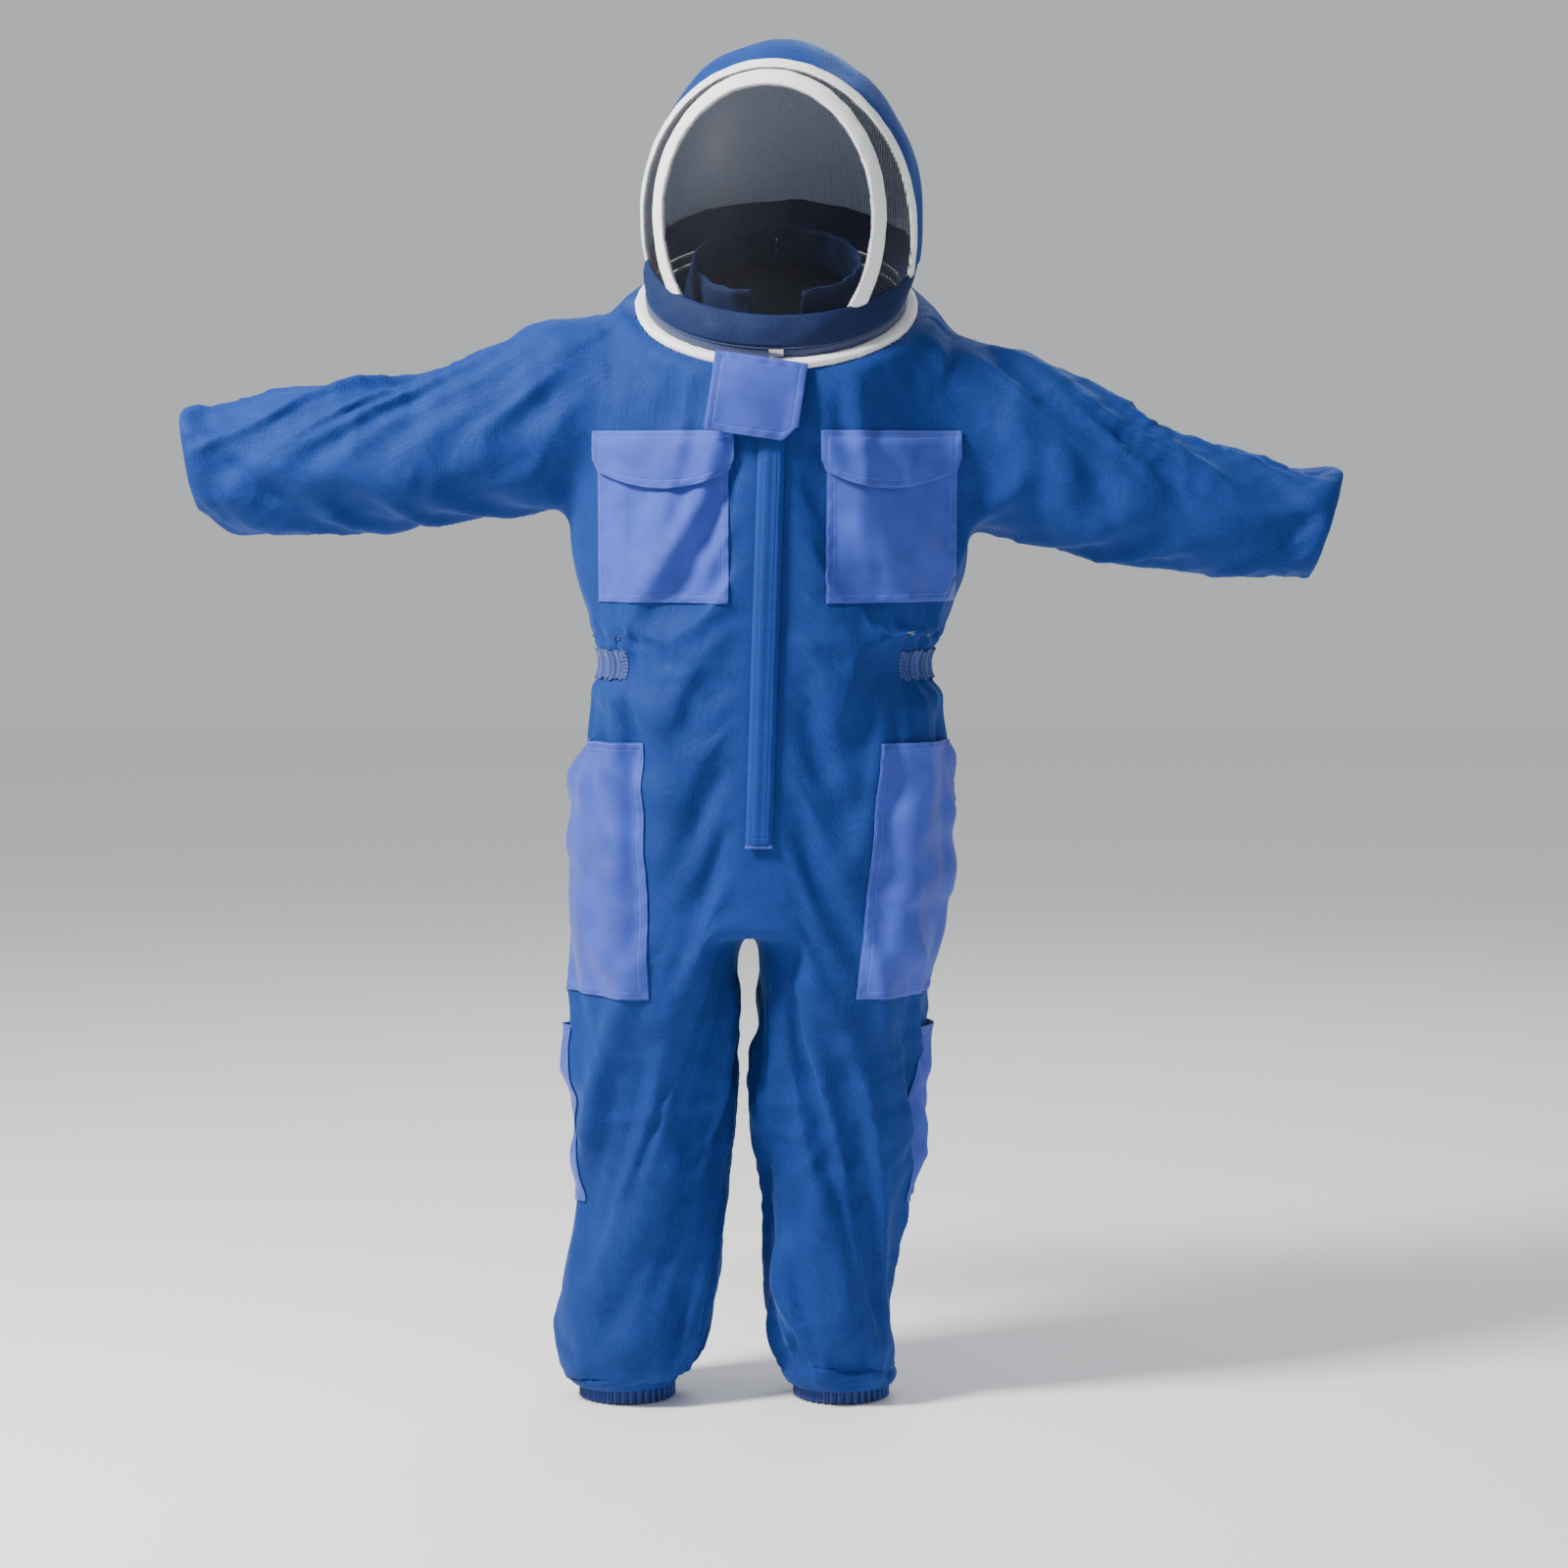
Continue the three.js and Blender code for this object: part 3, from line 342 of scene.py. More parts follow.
class Dressed:
    """A material being built: its tree, its shader and the groups placed in it."""

    def __init__(self, name: str) -> None:
        """Opens a material with a plain shader."""
        self.material = bpy.data.materials.new(name)
        self.material.use_nodes = True
        self.tree = self.material.node_tree
        self.shader = self.tree.nodes["Principled BSDF"]
        self.coords = self.tree.nodes.new("ShaderNodeTexCoord")

    def place(self) -> bpy.types.NodeSocket:
        """Object coordinates."""
        return self.coords.outputs["Object"]

    def uv(self, layer: str) -> bpy.types.NodeSocket:
        """One of the piece's own UV maps."""
        node = self.tree.nodes.new("ShaderNodeUVMap")
        node.uv_map = layer
        return node.outputs[0]

    def group(self, tree: bpy.types.NodeTree, **values: object) -> bpy.types.Node:
        """Places a shared group.

        Args:
            tree: the group.
            values: its inputs by name.

        Returns:
            The node.
        """
        node = self.tree.nodes.new("ShaderNodeGroup")
        node.node_tree = tree
        for label, value in values.items():
            put(node.inputs[label], value, self.tree)
        return node

    def set(self, label: str, value: object) -> None:
        """Sets or links one of the shader's inputs."""
        put(self.shader.inputs[label], value, self.tree)

    def bump(self, height: bpy.types.NodeSocket, distance: float, strength: float = 1.0) -> None:
        """Feeds a height through a bump to the shader's normal.

        Args:
            height: the height.
            distance: its size in metres.
            strength: its share.
        """
        node = self.tree.nodes.new("ShaderNodeBump")
        node.inputs["Distance"].default_value = distance
        node.inputs["Strength"].default_value = strength
        put(node.inputs["Height"], height, self.tree)
        put(self.shader.inputs["Normal"], node.outputs[0], self.tree)


@dataclass(frozen=True)
class SpacerMesh:
    """Three-layer ventilated cloth: matt, with a soft lift of light at its edges."""

    name: str
    colour: Colour
    deep: Colour
    sheen: float = 0.22
    cells: float = 330.0
    tone: float = 0.3
    stitched: bool = False

    def build(self) -> bpy.types.Material:
        """Builds the material.

        Returns:
            The material.
        """
        made = Dressed(self.name)
        cloth = made.group(
            Groups.spacer, Place=made.place(), Colour=self.colour, Deep=self.deep, Cells=self.cells, Tone=self.tone
        )
        made.set("Base Color", cloth.outputs["Colour"])
        made.set("Roughness", cloth.outputs["Roughness"])
        made.set("Sheen Weight", self.sheen)
        made.set("Sheen Roughness", 0.45)
        made.set("Sheen Tint", (0.12, 0.36, 1.0, 1.0))
        made.set("Specular IOR Level", 0.16)
        height = cloth.outputs["Height"]
        if self.stitched:
            thread = made.group(Groups.stitching, Edge=made.uv("edge"))
            height = maths(made.tree, "MULTIPLY_ADD", thread.outputs["Sunk"], -1.2, height)
            lit = blend_colours(made.tree, thread.outputs["Mask"], cloth.outputs["Colour"], self.colour)
            made.set("Base Color", lit)
        made.bump(height, 0.0006, 0.7)
        return made.material


@dataclass(frozen=True)
class Poplin:
    """Plain woven pocket cloth with double stitching along its hems, and painted shade in the sunk grooves by the
    stitching.
    """

    name: str
    colour: Colour
    deep: Colour
    thread: Colour
    sheen: float = 0.12
    near: float = 0.002
    far: float = 0.009

    def build(self) -> bpy.types.Material:
        """Builds the material.

        Returns:
            The material.
        """
        made = Dressed(self.name)
        cloth = made.group(
            Groups.weave, Flat=made.uv("flat"), Place=made.place(), Colour=self.colour, Deep=self.deep
        )
        thread = made.group(Groups.stitching, Edge=made.uv("edge"), Near=self.near, Far=self.far)
        # Painted shade: the cloth is darkened towards its deep tone in the sunk grooves along the stitch rows.
        shade = blend_colours(
            made.tree, maths(made.tree, "MULTIPLY", thread.outputs["Sunk"], 0.45), cloth.outputs["Colour"], self.deep
        )
        made.set("Base Color", blend_colours(made.tree, thread.outputs["Mask"], shade, self.thread))
        made.set("Roughness", cloth.outputs["Roughness"])
        made.set("Sheen Weight", self.sheen)
        made.set("Specular IOR Level", 0.3)
        made.bump(maths(made.tree, "MULTIPLY_ADD", thread.outputs["Sunk"], -0.55, cloth.outputs["Height"]), 0.0011, 0.8)
        return made.material


@dataclass(frozen=True)
class Rib:
    """Gathered elastic or ribbed tape, with painted shade in the hollows between its ribs."""

    name: str
    colour: Colour
    deep: Colour
    ribs: float = 220.0
    depth: float = 0.0012
    roughness: float = 0.75

    def build(self) -> bpy.types.Material:
        """Builds the material.

        Returns:
            The material.
        """
        made = Dressed(self.name)
        cloth = made.group(
            Groups.rib, Edge=made.uv("edge"), Place=made.place(), Colour=self.colour, Deep=self.deep, Ribs=self.ribs
        )
        made.set("Base Color", cloth.outputs["Colour"])
        made.set("Roughness", self.roughness)
        made.set("Sheen Weight", 0.2)
        made.bump(cloth.outputs["Height"], self.depth, 0.8)
        return made.material


@dataclass(frozen=True)
class VeilNet:
    """Fine knitted net: dark threads round open holes."""

    name: str
    colour: Colour
    pitch: float = 0.0024
    thread: float = 0.13

    def build(self) -> bpy.types.Material:
        """Builds the material.

        Returns:
            The material.
        """
        made = Dressed(self.name)
        tree = made.tree
        split = tree.nodes.new("ShaderNodeSeparateXYZ")
        put(split.inputs[0], made.uv("flat"), tree)
        threads: list[bpy.types.NodeSocket] = []
        for axis in (0, 1):
            beat = maths(tree, "FRACT", maths(tree, "DIVIDE", split.outputs[axis], self.pitch))
            threads.append(maths(tree, "ABSOLUTE", maths(tree, "SUBTRACT", beat, 0.5)))
        nearest = maths(tree, "MAXIMUM", *threads)
        mask = maths(tree, "GREATER_THAN", nearest, 0.5 - self.thread / 2)
        made.set("Alpha", mask)
        slow = noise_value(tree, made.place(), 30.0)
        made.set("Base Color", blend_colours(tree, slow, self.colour, (0.03, 0.032, 0.04, 1.0)))
        made.set("Roughness", maths(tree, "MULTIPLY_ADD", slow, 0.2, 0.5))
        made.set("Specular IOR Level", 0.3)
        return made.material


@dataclass(frozen=True)
class Metal:
    """Plated zip metal with small scuffs."""

    name: str
    colour: Colour

    def build(self) -> bpy.types.Material:
        """Builds the material.

        Returns:
            The material.
        """
        made = Dressed(self.name)
        scuffs = noise_value(made.tree, made.place(), 900.0, 6.0)
        made.set("Base Color", blend_colours(made.tree, scuffs, self.colour, (0.32, 0.31, 0.3, 1.0)))
        made.set("Metallic", 1.0)
        made.set("Roughness", maths(made.tree, "MULTIPLY_ADD", scuffs, 0.3, 0.18))
        made.bump(scuffs, 0.0001, 0.5)
        return made.material


# ------------------------------------------------------------------ mesh helpers


def cut(
    bm: bmesh.types.BMesh,
    point: Vector,
    normal: Vector,
    beyond: bool = False,
    before: bool = False,
    within: Callable[[Vector], bool] | None = None,
) -> None:
    """Cuts a mesh with a plane.

    Args:
        bm: the mesh.
        point: a point on the plane.
        normal: the plane's normal.
        beyond: clears the side the normal points to.
        before: clears the other side.
        within: limits the cut to faces whose middle passes.
    """
    faces = [f for f in bm.faces if within is None or within(f.calc_center_median())]
    edges = {e for f in faces for e in f.edges}
    verts = {v for f in faces for v in f.verts}
    bmesh.ops.bisect_plane(
        bm,
        geom=[*verts, *edges, *faces],
        dist=1e-6,
        plane_co=point,
        plane_no=normal,
        clear_outer=beyond,
        clear_inner=before,
    )


def finish_mesh(name: str, bm: bmesh.types.BMesh, *materials: bpy.types.Material, smooth: bool = True) -> bpy.types.Object:
    """Makes a mesh an object at the origin.

    Args:
        name: the piece's name.
        bm: its mesh, which is freed.
        materials: its material slots.
        smooth: shades it smoothly.

    Returns:
        The object.
    """
    mesh = bpy.data.meshes.new(name)
    for face in bm.faces:
        face.smooth = smooth
    bm.to_mesh(mesh)
    bm.free()
    obj = bpy.data.objects.new(name, mesh)
    bpy.context.scene.collection.objects.link(obj)
    for material in materials:
        mesh.materials.append(material)
    return obj


def apply_modifiers(obj: bpy.types.Object) -> None:
    """Replaces an object's mesh with what its modifiers make of it, and takes them off."""
    graph = bpy.context.evaluated_depsgraph_get()
    mesh = bpy.data.meshes.new_from_object(obj.evaluated_get(graph))
    obj.modifiers.clear()
    old = obj.data
    obj.data = mesh
    bpy.data.meshes.remove(old)
    mesh.name = obj.name


def thicken(obj: bpy.types.Object, thickness: float, offset: float = -1.0, inside: int = 0) -> None:
    """Gives a sheet its thickness.

    Args:
        obj: the sheet.
        thickness: in metres.
        offset: -1 grows it inwards from its face, 1 outwards.
        inside: how many slots on the new face's material is.
    """
    wall = obj.modifiers.new("Wall", "SOLIDIFY")
    wall.thickness = thickness
    wall.offset = offset
    wall.use_even_offset = False
    wall.material_offset = inside
    apply_modifiers(obj)


def tree_of(*objects: bpy.types.Object) -> BVHTree:
    """Joins objects' faces into one tree for casting rays.

    Args:
        objects: the objects.

    Returns:
        The tree.
    """
    points: list[Vector] = []
    faces: list[tuple[int, ...]] = []
    for obj in objects:
        start = len(points)
        points.extend(v.co.copy() for v in obj.data.vertices)
        faces.extend(tuple(start + i for i in p.vertices) for p in obj.data.polygons)
    return BVHTree.FromPolygons(points, faces)


def smoothstep(value: float, low: float, high: float) -> float:
    """Eases from 0 at low to 1 at high."""
    t = min(1.0, max(0.0, (value - low) / (high - low)))
    return t * t * (3 - 2 * t)


def cast(tree: BVHTree, start: Vector, aim: Vector) -> tuple[Vector, Vector] | None:
    """Casts a ray.

    Args:
        tree: what it may hit.
        start: where it starts.
        aim: its direction.

    Returns:
        The point it hits and the normal there, turned against the ray, or nothing.
    """
    hit, normal, _, _ = tree.ray_cast(start, aim)
    if hit is None:
        return None
    return hit, (normal if normal.dot(aim) < 0 else -normal)


@dataclass(frozen=True)
class Ring:
    """The neck ring: its centre, radius and forward tilt."""

    centre: Vector = Vector((0.01151, 0.0, 0.0))
    radius: float = 0.166
    tilt: float = 27 * RADIAN

    @property
    def axis(self) -> Vector:
        """The direction straight up out of the ring."""
        return Vector((0, -math.sin(self.tilt), math.cos(self.tilt)))

    @property
    def frame(self) -> Matrix:
        """The ring's own frame, +Z along its axis and -Y to the front."""
        return Matrix.Translation(self.centre) @ Matrix.Rotation(self.tilt, 4, "X")

    def point(self, turn: float, out: float, rise: float) -> Vector:
        """A point by the ring.

        Args:
            turn: the angle from the front, growing to the wearer's left.
            out: how far outside the ring's radius.
            rise: how far up the axis.

        Returns:
            The point.
        """
        reach = self.radius + out
        return self.frame @ Vector((reach * math.sin(turn), -reach * math.cos(turn), rise))


RING = Ring()


@dataclass(frozen=True)
class Arm:
    """A sleeve's line: its pivot, drop and length."""

    side: Side
    drop: float
    length: float

    @property
    def pivot(self) -> Vector:
        """The shoulder joint's place."""
        return Vector(joint(f"shoulder_{self.side.word}")["pos_m"])

    @property
    def out(self) -> Vector:
        """The direction out along the sleeve."""
        return Vector((self.side.value * math.cos(self.drop), 0, -math.sin(self.drop)))

    @property
    def up(self) -> Vector:
        """The direction across the sleeve, upwards."""
        return Vector((self.side.value * math.sin(self.drop), 0, math.cos(self.drop)))

    def at(self, along: float) -> Vector:
        """A point on the sleeve's line."""
        return self.pivot + self.out * along

    def along(self, point: Vector) -> float:
        """How far out a point is."""
        return (point - self.pivot).dot(self.out)


def joint(name: str) -> dict:
    """A joint of the frame by name."""
    return next(j for j in frame["joints"] if j["name"] == name)


ARMS = {Side.RIGHT: Arm(Side.RIGHT, 9.5 * RADIAN, 0.490), Side.LEFT: Arm(Side.LEFT, 17 * RADIAN, 0.468)}


# ------------------------------------------------------------------ the coverall's skin


@dataclass
class Coverall:
    """The body, sleeves and legs: one skin, cut where the joints bend."""

    cloth: bpy.types.Material
    lining: bpy.types.Material
    voxel: float = 0.0105
    band: float = 0.035
    wall: float = 0.0022
    growth: float = 0.085
    pressure: float = 0.35
    frames: int = 26
    cap: float = 0.02
    arm_cut: float = 0.045
    elbow_cut: float = 0.160
    elbow_end: float = 0.310
    crotch: float = -0.776
    hip_slope: float = 30 * RADIAN
    hip_reach: float = 0.125
    knee_cut: float = -0.918
    knee_end: float = -1.085
    hem: float = -1.342
    pieces: dict[str, bpy.types.Object] = field(default_factory=dict)

    TRUNK_NODES = (
        "front_panel_left",
        "front_panel_right",
        "back_panel_lower",
        "back_panel_upper",
        "seat_left",
        "seat_right",
    )

    def __post_init__(self) -> None:
        """Reads the storm flap's box once, for the trunk's centre line."""
        self.flap_low, self.flap_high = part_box("storm_flap")

    def centre(self, z: float) -> float:
        """The trunk's centre line at a height."""
        low, high = self.flap_low, self.flap_high
        share = (z - low.z) / (high.z - low.z)
        half = 0.017
        return (low.x + half) * (1 - share) + (high.x - half) * share

    def hull_bands(self, into: bmesh.types.BMesh, nodes: Sequence[str], origin: Vector, axis: Vector, spare: float) -> None:
        """Adds the convex hull of each short length of some nodes.

        Args:
            into: the mesh that gathers them.
            nodes: the frame's nodes.
            origin: where lengths are measured from.
            axis: the direction they are measured in.
            spare: how far each hull runs past its length.
        """
        cloud = bmesh.new()
        for node in nodes:
            cloud.from_mesh(frame["nodes"][node].data)
        reach = [(v.co - origin).dot(axis) for v in cloud.verts]
        low, high = min(reach), max(reach)
        count = max(1, round((high - low) / self.band))
        for i in range(1, count):
            cut(cloud, origin + axis * (low + (high - low) * i / count), axis)
        points = [(v.co.copy(), (v.co - origin).dot(axis)) for v in cloud.verts]
        cloud.free()
        for i in range(count):
            start, end = (low + (high - low) * k / count for k in (i, i + 1))
            part = bmesh.new()
            for co, at in points:
                if start - 1e-4 <= at <= end + 1e-4:
                    part.verts.new(co - axis * spare)
                    part.verts.new(co + axis * spare)
            made = bmesh.ops.convex_hull(part, input=part.verts)
            bmesh.ops.delete(part, geom=list({*made["geom_interior"], *made["geom_unused"]}), context="VERTS")
            mesh = bpy.data.meshes.new("band")
            part.to_mesh(mesh)
            part.free()
            into.from_mesh(mesh)
            bpy.data.meshes.remove(mesh)

    def rough(self) -> bpy.types.Object:
        """Fuses the frame's panels into one closed skin.

        Returns:
            The skin.
        """
        whole = bmesh.new()
        up = Vector((0, 0, 1))
        self.hull_bands(whole, self.TRUNK_NODES, Vector(), up, 0.002)
        for side, arm in ARMS.items():
            word = side.word
            self.hull_bands(whole, [f"sleeve_head_{word}"], arm.pivot, arm.out, 0.012)
            nodes = [f"{part}_{word}" for part in ("upper_sleeve", "elbow", "forearm")]
            self.hull_bands(whole, nodes, arm.pivot, arm.out, 0.006)
            nodes = [f"{part}_{word}" for part in ("thigh_top", "thigh", "knee", "shin")]
            self.hull_bands(whole, nodes, Vector(), up, 0.004)
        skin = finish_mesh("coverall_skin", whole)
        remesh = skin.modifiers.new("Fuse", "REMESH")
        remesh.mode = "VOXEL"
        remesh.voxel_size = self.voxel
        apply_modifiers(skin)
        bm = bmesh.new()
        bm.from_mesh(skin.data)
        for _ in range(8):
            bmesh.ops.smooth_vert(bm, verts=bm.verts, factor=0.5, use_axis_x=True, use_axis_y=True, use_axis_z=True)
        bm.to_mesh(skin.data)
        bm.free()
        return skin

    def hold(self, point: Vector) -> float:
        """How firmly the wearer and the seams hold the cloth at a point.

        Args:
            point: the point.

        Returns:
            From 0, free, to 1, fixed.
        """
        local = RING.frame.inverted() @ point
        held = 1 - smoothstep(math.hypot(local.x, local.y), RING.radius + 0.008, RING.radius + 0.05)
        held *= 1 - smoothstep(-local.z, 0.03, 0.08)
        centre = self.centre(point.z)
        if point.y < -0.05 and -0.72 < point.z < 0.0:
            held = max(held, 1 - smoothstep(abs(point.x - centre), 0.02, 0.05))
        waist = 1 - smoothstep(abs(point.z + 0.437), 0.012, 0.04)
        held = max(held, 0.9 * waist * smoothstep(abs(point.x - centre), 0.10, 0.17))
        crotch = math.hypot(point.x - centre, point.z - self.crotch)
        held = max(held, 1 - smoothstep(crotch, 0.03, 0.08))
        held = max(held, 1 - smoothstep(point.z - self.hem, 0.0, 0.03))
        for arm in ARMS.values():
            if abs(point.x) > 0.3:
                held = max(held, 1 - smoothstep(abs(arm.along(point) - arm.length), 0.0, 0.03))
        return held

    def settle(self, skin: bpy.types.Object) -> None:
        """Lets the skin sag and gather as slightly too much cloth, within a limit.

        Args:
            skin: the closed skin.
        """
        rest = [v.co.copy() for v in skin.data.vertices]
        held = skin.vertex_groups.new(name="held")
        for vertex in skin.data.vertices:
            held.add([vertex.index], self.hold(vertex.co), "REPLACE")
        cloth = skin.modifiers.new("Cloth", "CLOTH")
        settings = cloth.settings
        settings.quality = 6
        settings.mass = 0.35
        settings.tension_stiffness = 22
        settings.compression_stiffness = 22
        settings.shear_stiffness = 6
        settings.bending_stiffness = 1.6
        settings.tension_damping = 12
        settings.compression_damping = 12
        settings.air_damping = 3
        settings.use_pressure = True
        settings.uniform_pressure_force = self.pressure
        settings.shrink_min = -self.growth
        settings.vertex_group_mass = "held"
        settings.pin_stiffness = 1.0
        cloth.collision_settings.use_collision = False
        cloth.collision_settings.use_self_collision = False
        scene = bpy.context.scene
        cloth.point_cache.frame_start = 1
        cloth.point_cache.frame_end = self.frames
        for number in range(1, self.frames + 1):
            scene.frame_set(number)
        graph = bpy.context.evaluated_depsgraph_get()
        moved = [v.co.copy() for v in skin.evaluated_get(graph).data.vertices]
        skin.modifiers.clear()
        scene.frame_set(1)
        for vertex, start, end in zip(skin.data.vertices, rest, moved):
            step = end - start
            if step.length > 1e-9:
                step *= self.cap * math.tanh(step.length / self.cap) / step.length
            vertex.co = start + step * (1 - self.hold(start))

    @staticmethod
    def ridge(across: float, one: float, two: float, sharp: float = 2.4) -> float:
        """A fold's height where it crosses a field of long soft ridges.

        Args:
            across: the place across the folds, in folds.
            one: the first place along them.
            two: the second place along them.
            sharp: how narrow each ridge is.

        Returns:
            From -0.3, between ridges, to 0.7, on one.
        """
        value = max(0.0, 1 - sharp * abs(noise.noise(Vector((across, one, two)))))
        return value * value * (3 - 2 * value) - 0.3

    def wrinkle(self, co: Vector) -> float:
        """How far folds push the cloth out at a point.

        Args:
            co: the point.

        Returns:
            The push in metres.
        """
        for side, arm in ARMS.items():
            along = arm.along(co)
            if co.z > -0.40 and along > -0.04 and co.x * side.value > 0.17:
                off = co - arm.at(along)
                turn = math.atan2(off.y, off.dot(arm.up))
                share = smoothstep(along, -0.04, 0.06)
                crowd = 0.55 + 0.45 * math.exp(-(((along - 0.24) / 0.08) ** 2)) + 0.3 * math.exp(-(((along - 0.05) / 0.06) ** 2))
                broad = self.ridge(along * 11 + 2.2 * math.sin(turn + 0.6), math.cos(turn) * 0.7, math.sin(turn) * 0.7 + 4 * side.value)
                fine = self.ridge(along * 27 - 1.9 * math.sin(turn - 0.4), math.cos(turn) * 1.6, math.sin(turn) * 1.6 + 9)
                return share * crowd * (0.0180 * broad + 0.0036 * fine)
        middle = self.centre(co.z)
        if co.z < self.crotch + 0.05:
            side = 1 if co.x > middle else -1
            hub = middle + side * 0.105
            turn = math.atan2(co.y, co.x - hub)
            knee = math.exp(-(((co.z + 1.0) / 0.10) ** 2))
            foot = math.exp(-(((co.z + 1.29) / 0.07) ** 2))
            share = 1 - smoothstep(co.z, self.crotch - 0.04, self.crotch + 0.05)
            broad = self.ridge(co.z * 6.5 + 2.4 * side * math.sin(turn + 0.9), math.cos(turn) * 1.1, math.sin(turn) * 1.1 + 5 * side)
            fine = self.ridge(co.z * 24 - 1.7 * math.sin(turn + 0.2), math.cos(turn) * 1.5, math.sin(turn) * 1.5 + 3 * side)
            return share * (0.0175 * broad * (0.7 + 0.5 * knee + 0.2 * foot) + 0.0036 * fine * (0.5 + knee + 0.3 * foot))
        reach = abs(co.x - middle)
        lean = reach * 7 + co.z * 4.2
        outer = smoothstep(reach, 0.03, 0.12)
        if co.z < -0.44:
            lean = reach * 5 - co.z * 9
        drag = self.ridge(lean * 1.15, (co.z * 1.3 - reach * 3.4) * 1.1, co.y * 3 + (5 if co.x > middle else 1))
        small = self.ridge(co.x * 13, co.z * 10, co.y * 5 + 8)
        share = smoothstep(co.z, self.crotch, self.crotch + 0.09)
        return share * outer * (0.0105 * drag + 0.0034 * small)

    def fold(self, bm: bmesh.types.BMesh) -> None:
        """Presses folds and a fine restlessness into the skin.

        Args:
            bm: the skin.
        """
        bm.normal_update()
        moves: list[tuple[bmesh.types.BMVert, Vector]] = []
        for vert in bm.verts:
            free = 1 - self.hold(vert.co)
            if free > 0:
                moves.append((vert, vert.normal * (self.wrinkle(vert.co) * free)))
        for vert, move in moves:
            vert.co += move

    def gather_waist(self, bm: bmesh.types.BMesh) -> None:
        """Puckers the cloth above and below the elastic at the sides of the waist.

        Args:
            bm: the skin.
        """
        low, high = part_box("waist_elastic_left")
        middle = (low.z + high.z) / 2
        for vert in bm.verts:
            co = vert.co
            side = smoothstep(abs(co.x - self.centre(co.z)), 0.12, 0.18)
            near = 1 - smoothstep(abs(co.z - middle), 0.02, 0.10)
            if side * near > 0:
                turn = math.atan2(co.y + 0.01, co.x)
                vert.co += vert.normal * (0.0024 * math.sin(turn * 40) * side * near)
                vert.co -= vert.normal * 0.015 * side * (1 - smoothstep(abs(co.z - middle), 0.004, 0.045))

    def open_ends(self, bm: bmesh.types.BMesh) -> None:
        """Opens the neck, the sleeve ends and the hems.

        Args:
            bm: the closed skin.
        """
        inverse = RING.frame.inverted()

        def by_neck(point: Vector) -> bool:
            """Whether a point is close to the neck ring."""
            local = inverse @ point
            return math.hypot(local.x, local.y) < RING.radius + 0.003 and local.z > -0.05

        cut(bm, RING.centre - RING.axis * 0.001, RING.axis, beyond=True, within=by_neck)
        for arm in ARMS.values():
            cut(bm, arm.at(arm.length), arm.out, beyond=True, within=lambda p, a=arm: a.along(p) > a.length - 0.05)
        cut(bm, Vector((0, 0, self.hem)), Vector((0, 0, -1)), beyond=True)

    def hip_direction(self, side: Side) -> Vector:
        """The direction down into a leg from the diagonal line over the hip."""
        return Vector((side.value * math.sin(self.hip_slope), 0, -math.cos(self.hip_slope)))

    def hip_start(self) -> Vector:
        """The point in the crotch where both hip lines meet."""
        return Vector((self.centre(self.crotch) - 0.004, 0, self.crotch + 0.012))

    def part_of(self, point: Vector) -> str:
        """Which length of the coverall a point is in.

        Args:
            point: the point.

        Returns:
            The piece's name.
        """
        for side, arm in ARMS.items():
            if point.z > -0.36 and arm.along(point) > self.arm_cut and point.x * side.value > 0.2:
                return f"sleeve_{'lower' if arm.along(point) > self.elbow_cut else 'upper'}_{side.word}"
        side = Side.LEFT if point.x > self.hip_start().x else Side.RIGHT
        if (point - self.hip_start()).dot(self.hip_direction(side)) > 0:
            return f"trouser_{'lower' if point.z < self.knee_cut else 'upper'}_{side.word}"
        return "coverall_trunk"

    def divide(self, skin: bpy.types.Object) -> None:
        """Cuts the finished skin into lengths whose meeting edges and shading match.

        Args:
            skin: the open skin.
        """
        bm = bmesh.new()
        bm.from_mesh(skin.data)
        layer = bm.verts.layers.float_vector.new("shade")
        bm.normal_update()
        for vert in bm.verts:
            vert[layer] = vert.normal
        for side, arm in ARMS.items():
            for along in (self.arm_cut, self.elbow_cut):
                cut(bm, arm.at(along), arm.out, within=lambda p, s=side: p.z > -0.38 and p.x * s.value > 0.19)
            start, direction = self.hip_start(), self.hip_direction(side)
            cut(bm, start, direction, within=lambda p, s=side, c=start.x: p.z < -0.3 and (p.x - c) * s.value > -0.004)
        cut(bm, Vector((self.hip_start().x, 0, 0)), Vector((1, 0, 0)), within=lambda p: p.z < self.crotch + 0.05)
        cut(bm, Vector((0, 0, self.knee_cut)), Vector((0, 0, -1)))
        names = sorted({self.part_of(f.calc_center_median()) for f in bm.faces})
        for name in names:
            part = bm.copy()
            away = [f for f in part.faces if self.part_of(f.calc_center_median()) != name]
            bmesh.ops.delete(part, geom=away, context="FACES")
            piece = finish_mesh(name, part, self.cloth, self.lining)
            outer = len(piece.data.vertices)
            thicken(piece, self.wall, -1.0, 1)
            shade = piece.data.attributes["shade"]
            normals = [
                tuple(value.vector.normalized() * (1 if i < outer else -1)) for i, value in enumerate(shade.data)
            ]
            piece.data.attributes.remove(shade)
            piece.data.normals_split_custom_set_from_vertices(normals)
            self.pieces[name] = piece
        bm.free()
        bpy.data.objects.remove(skin)

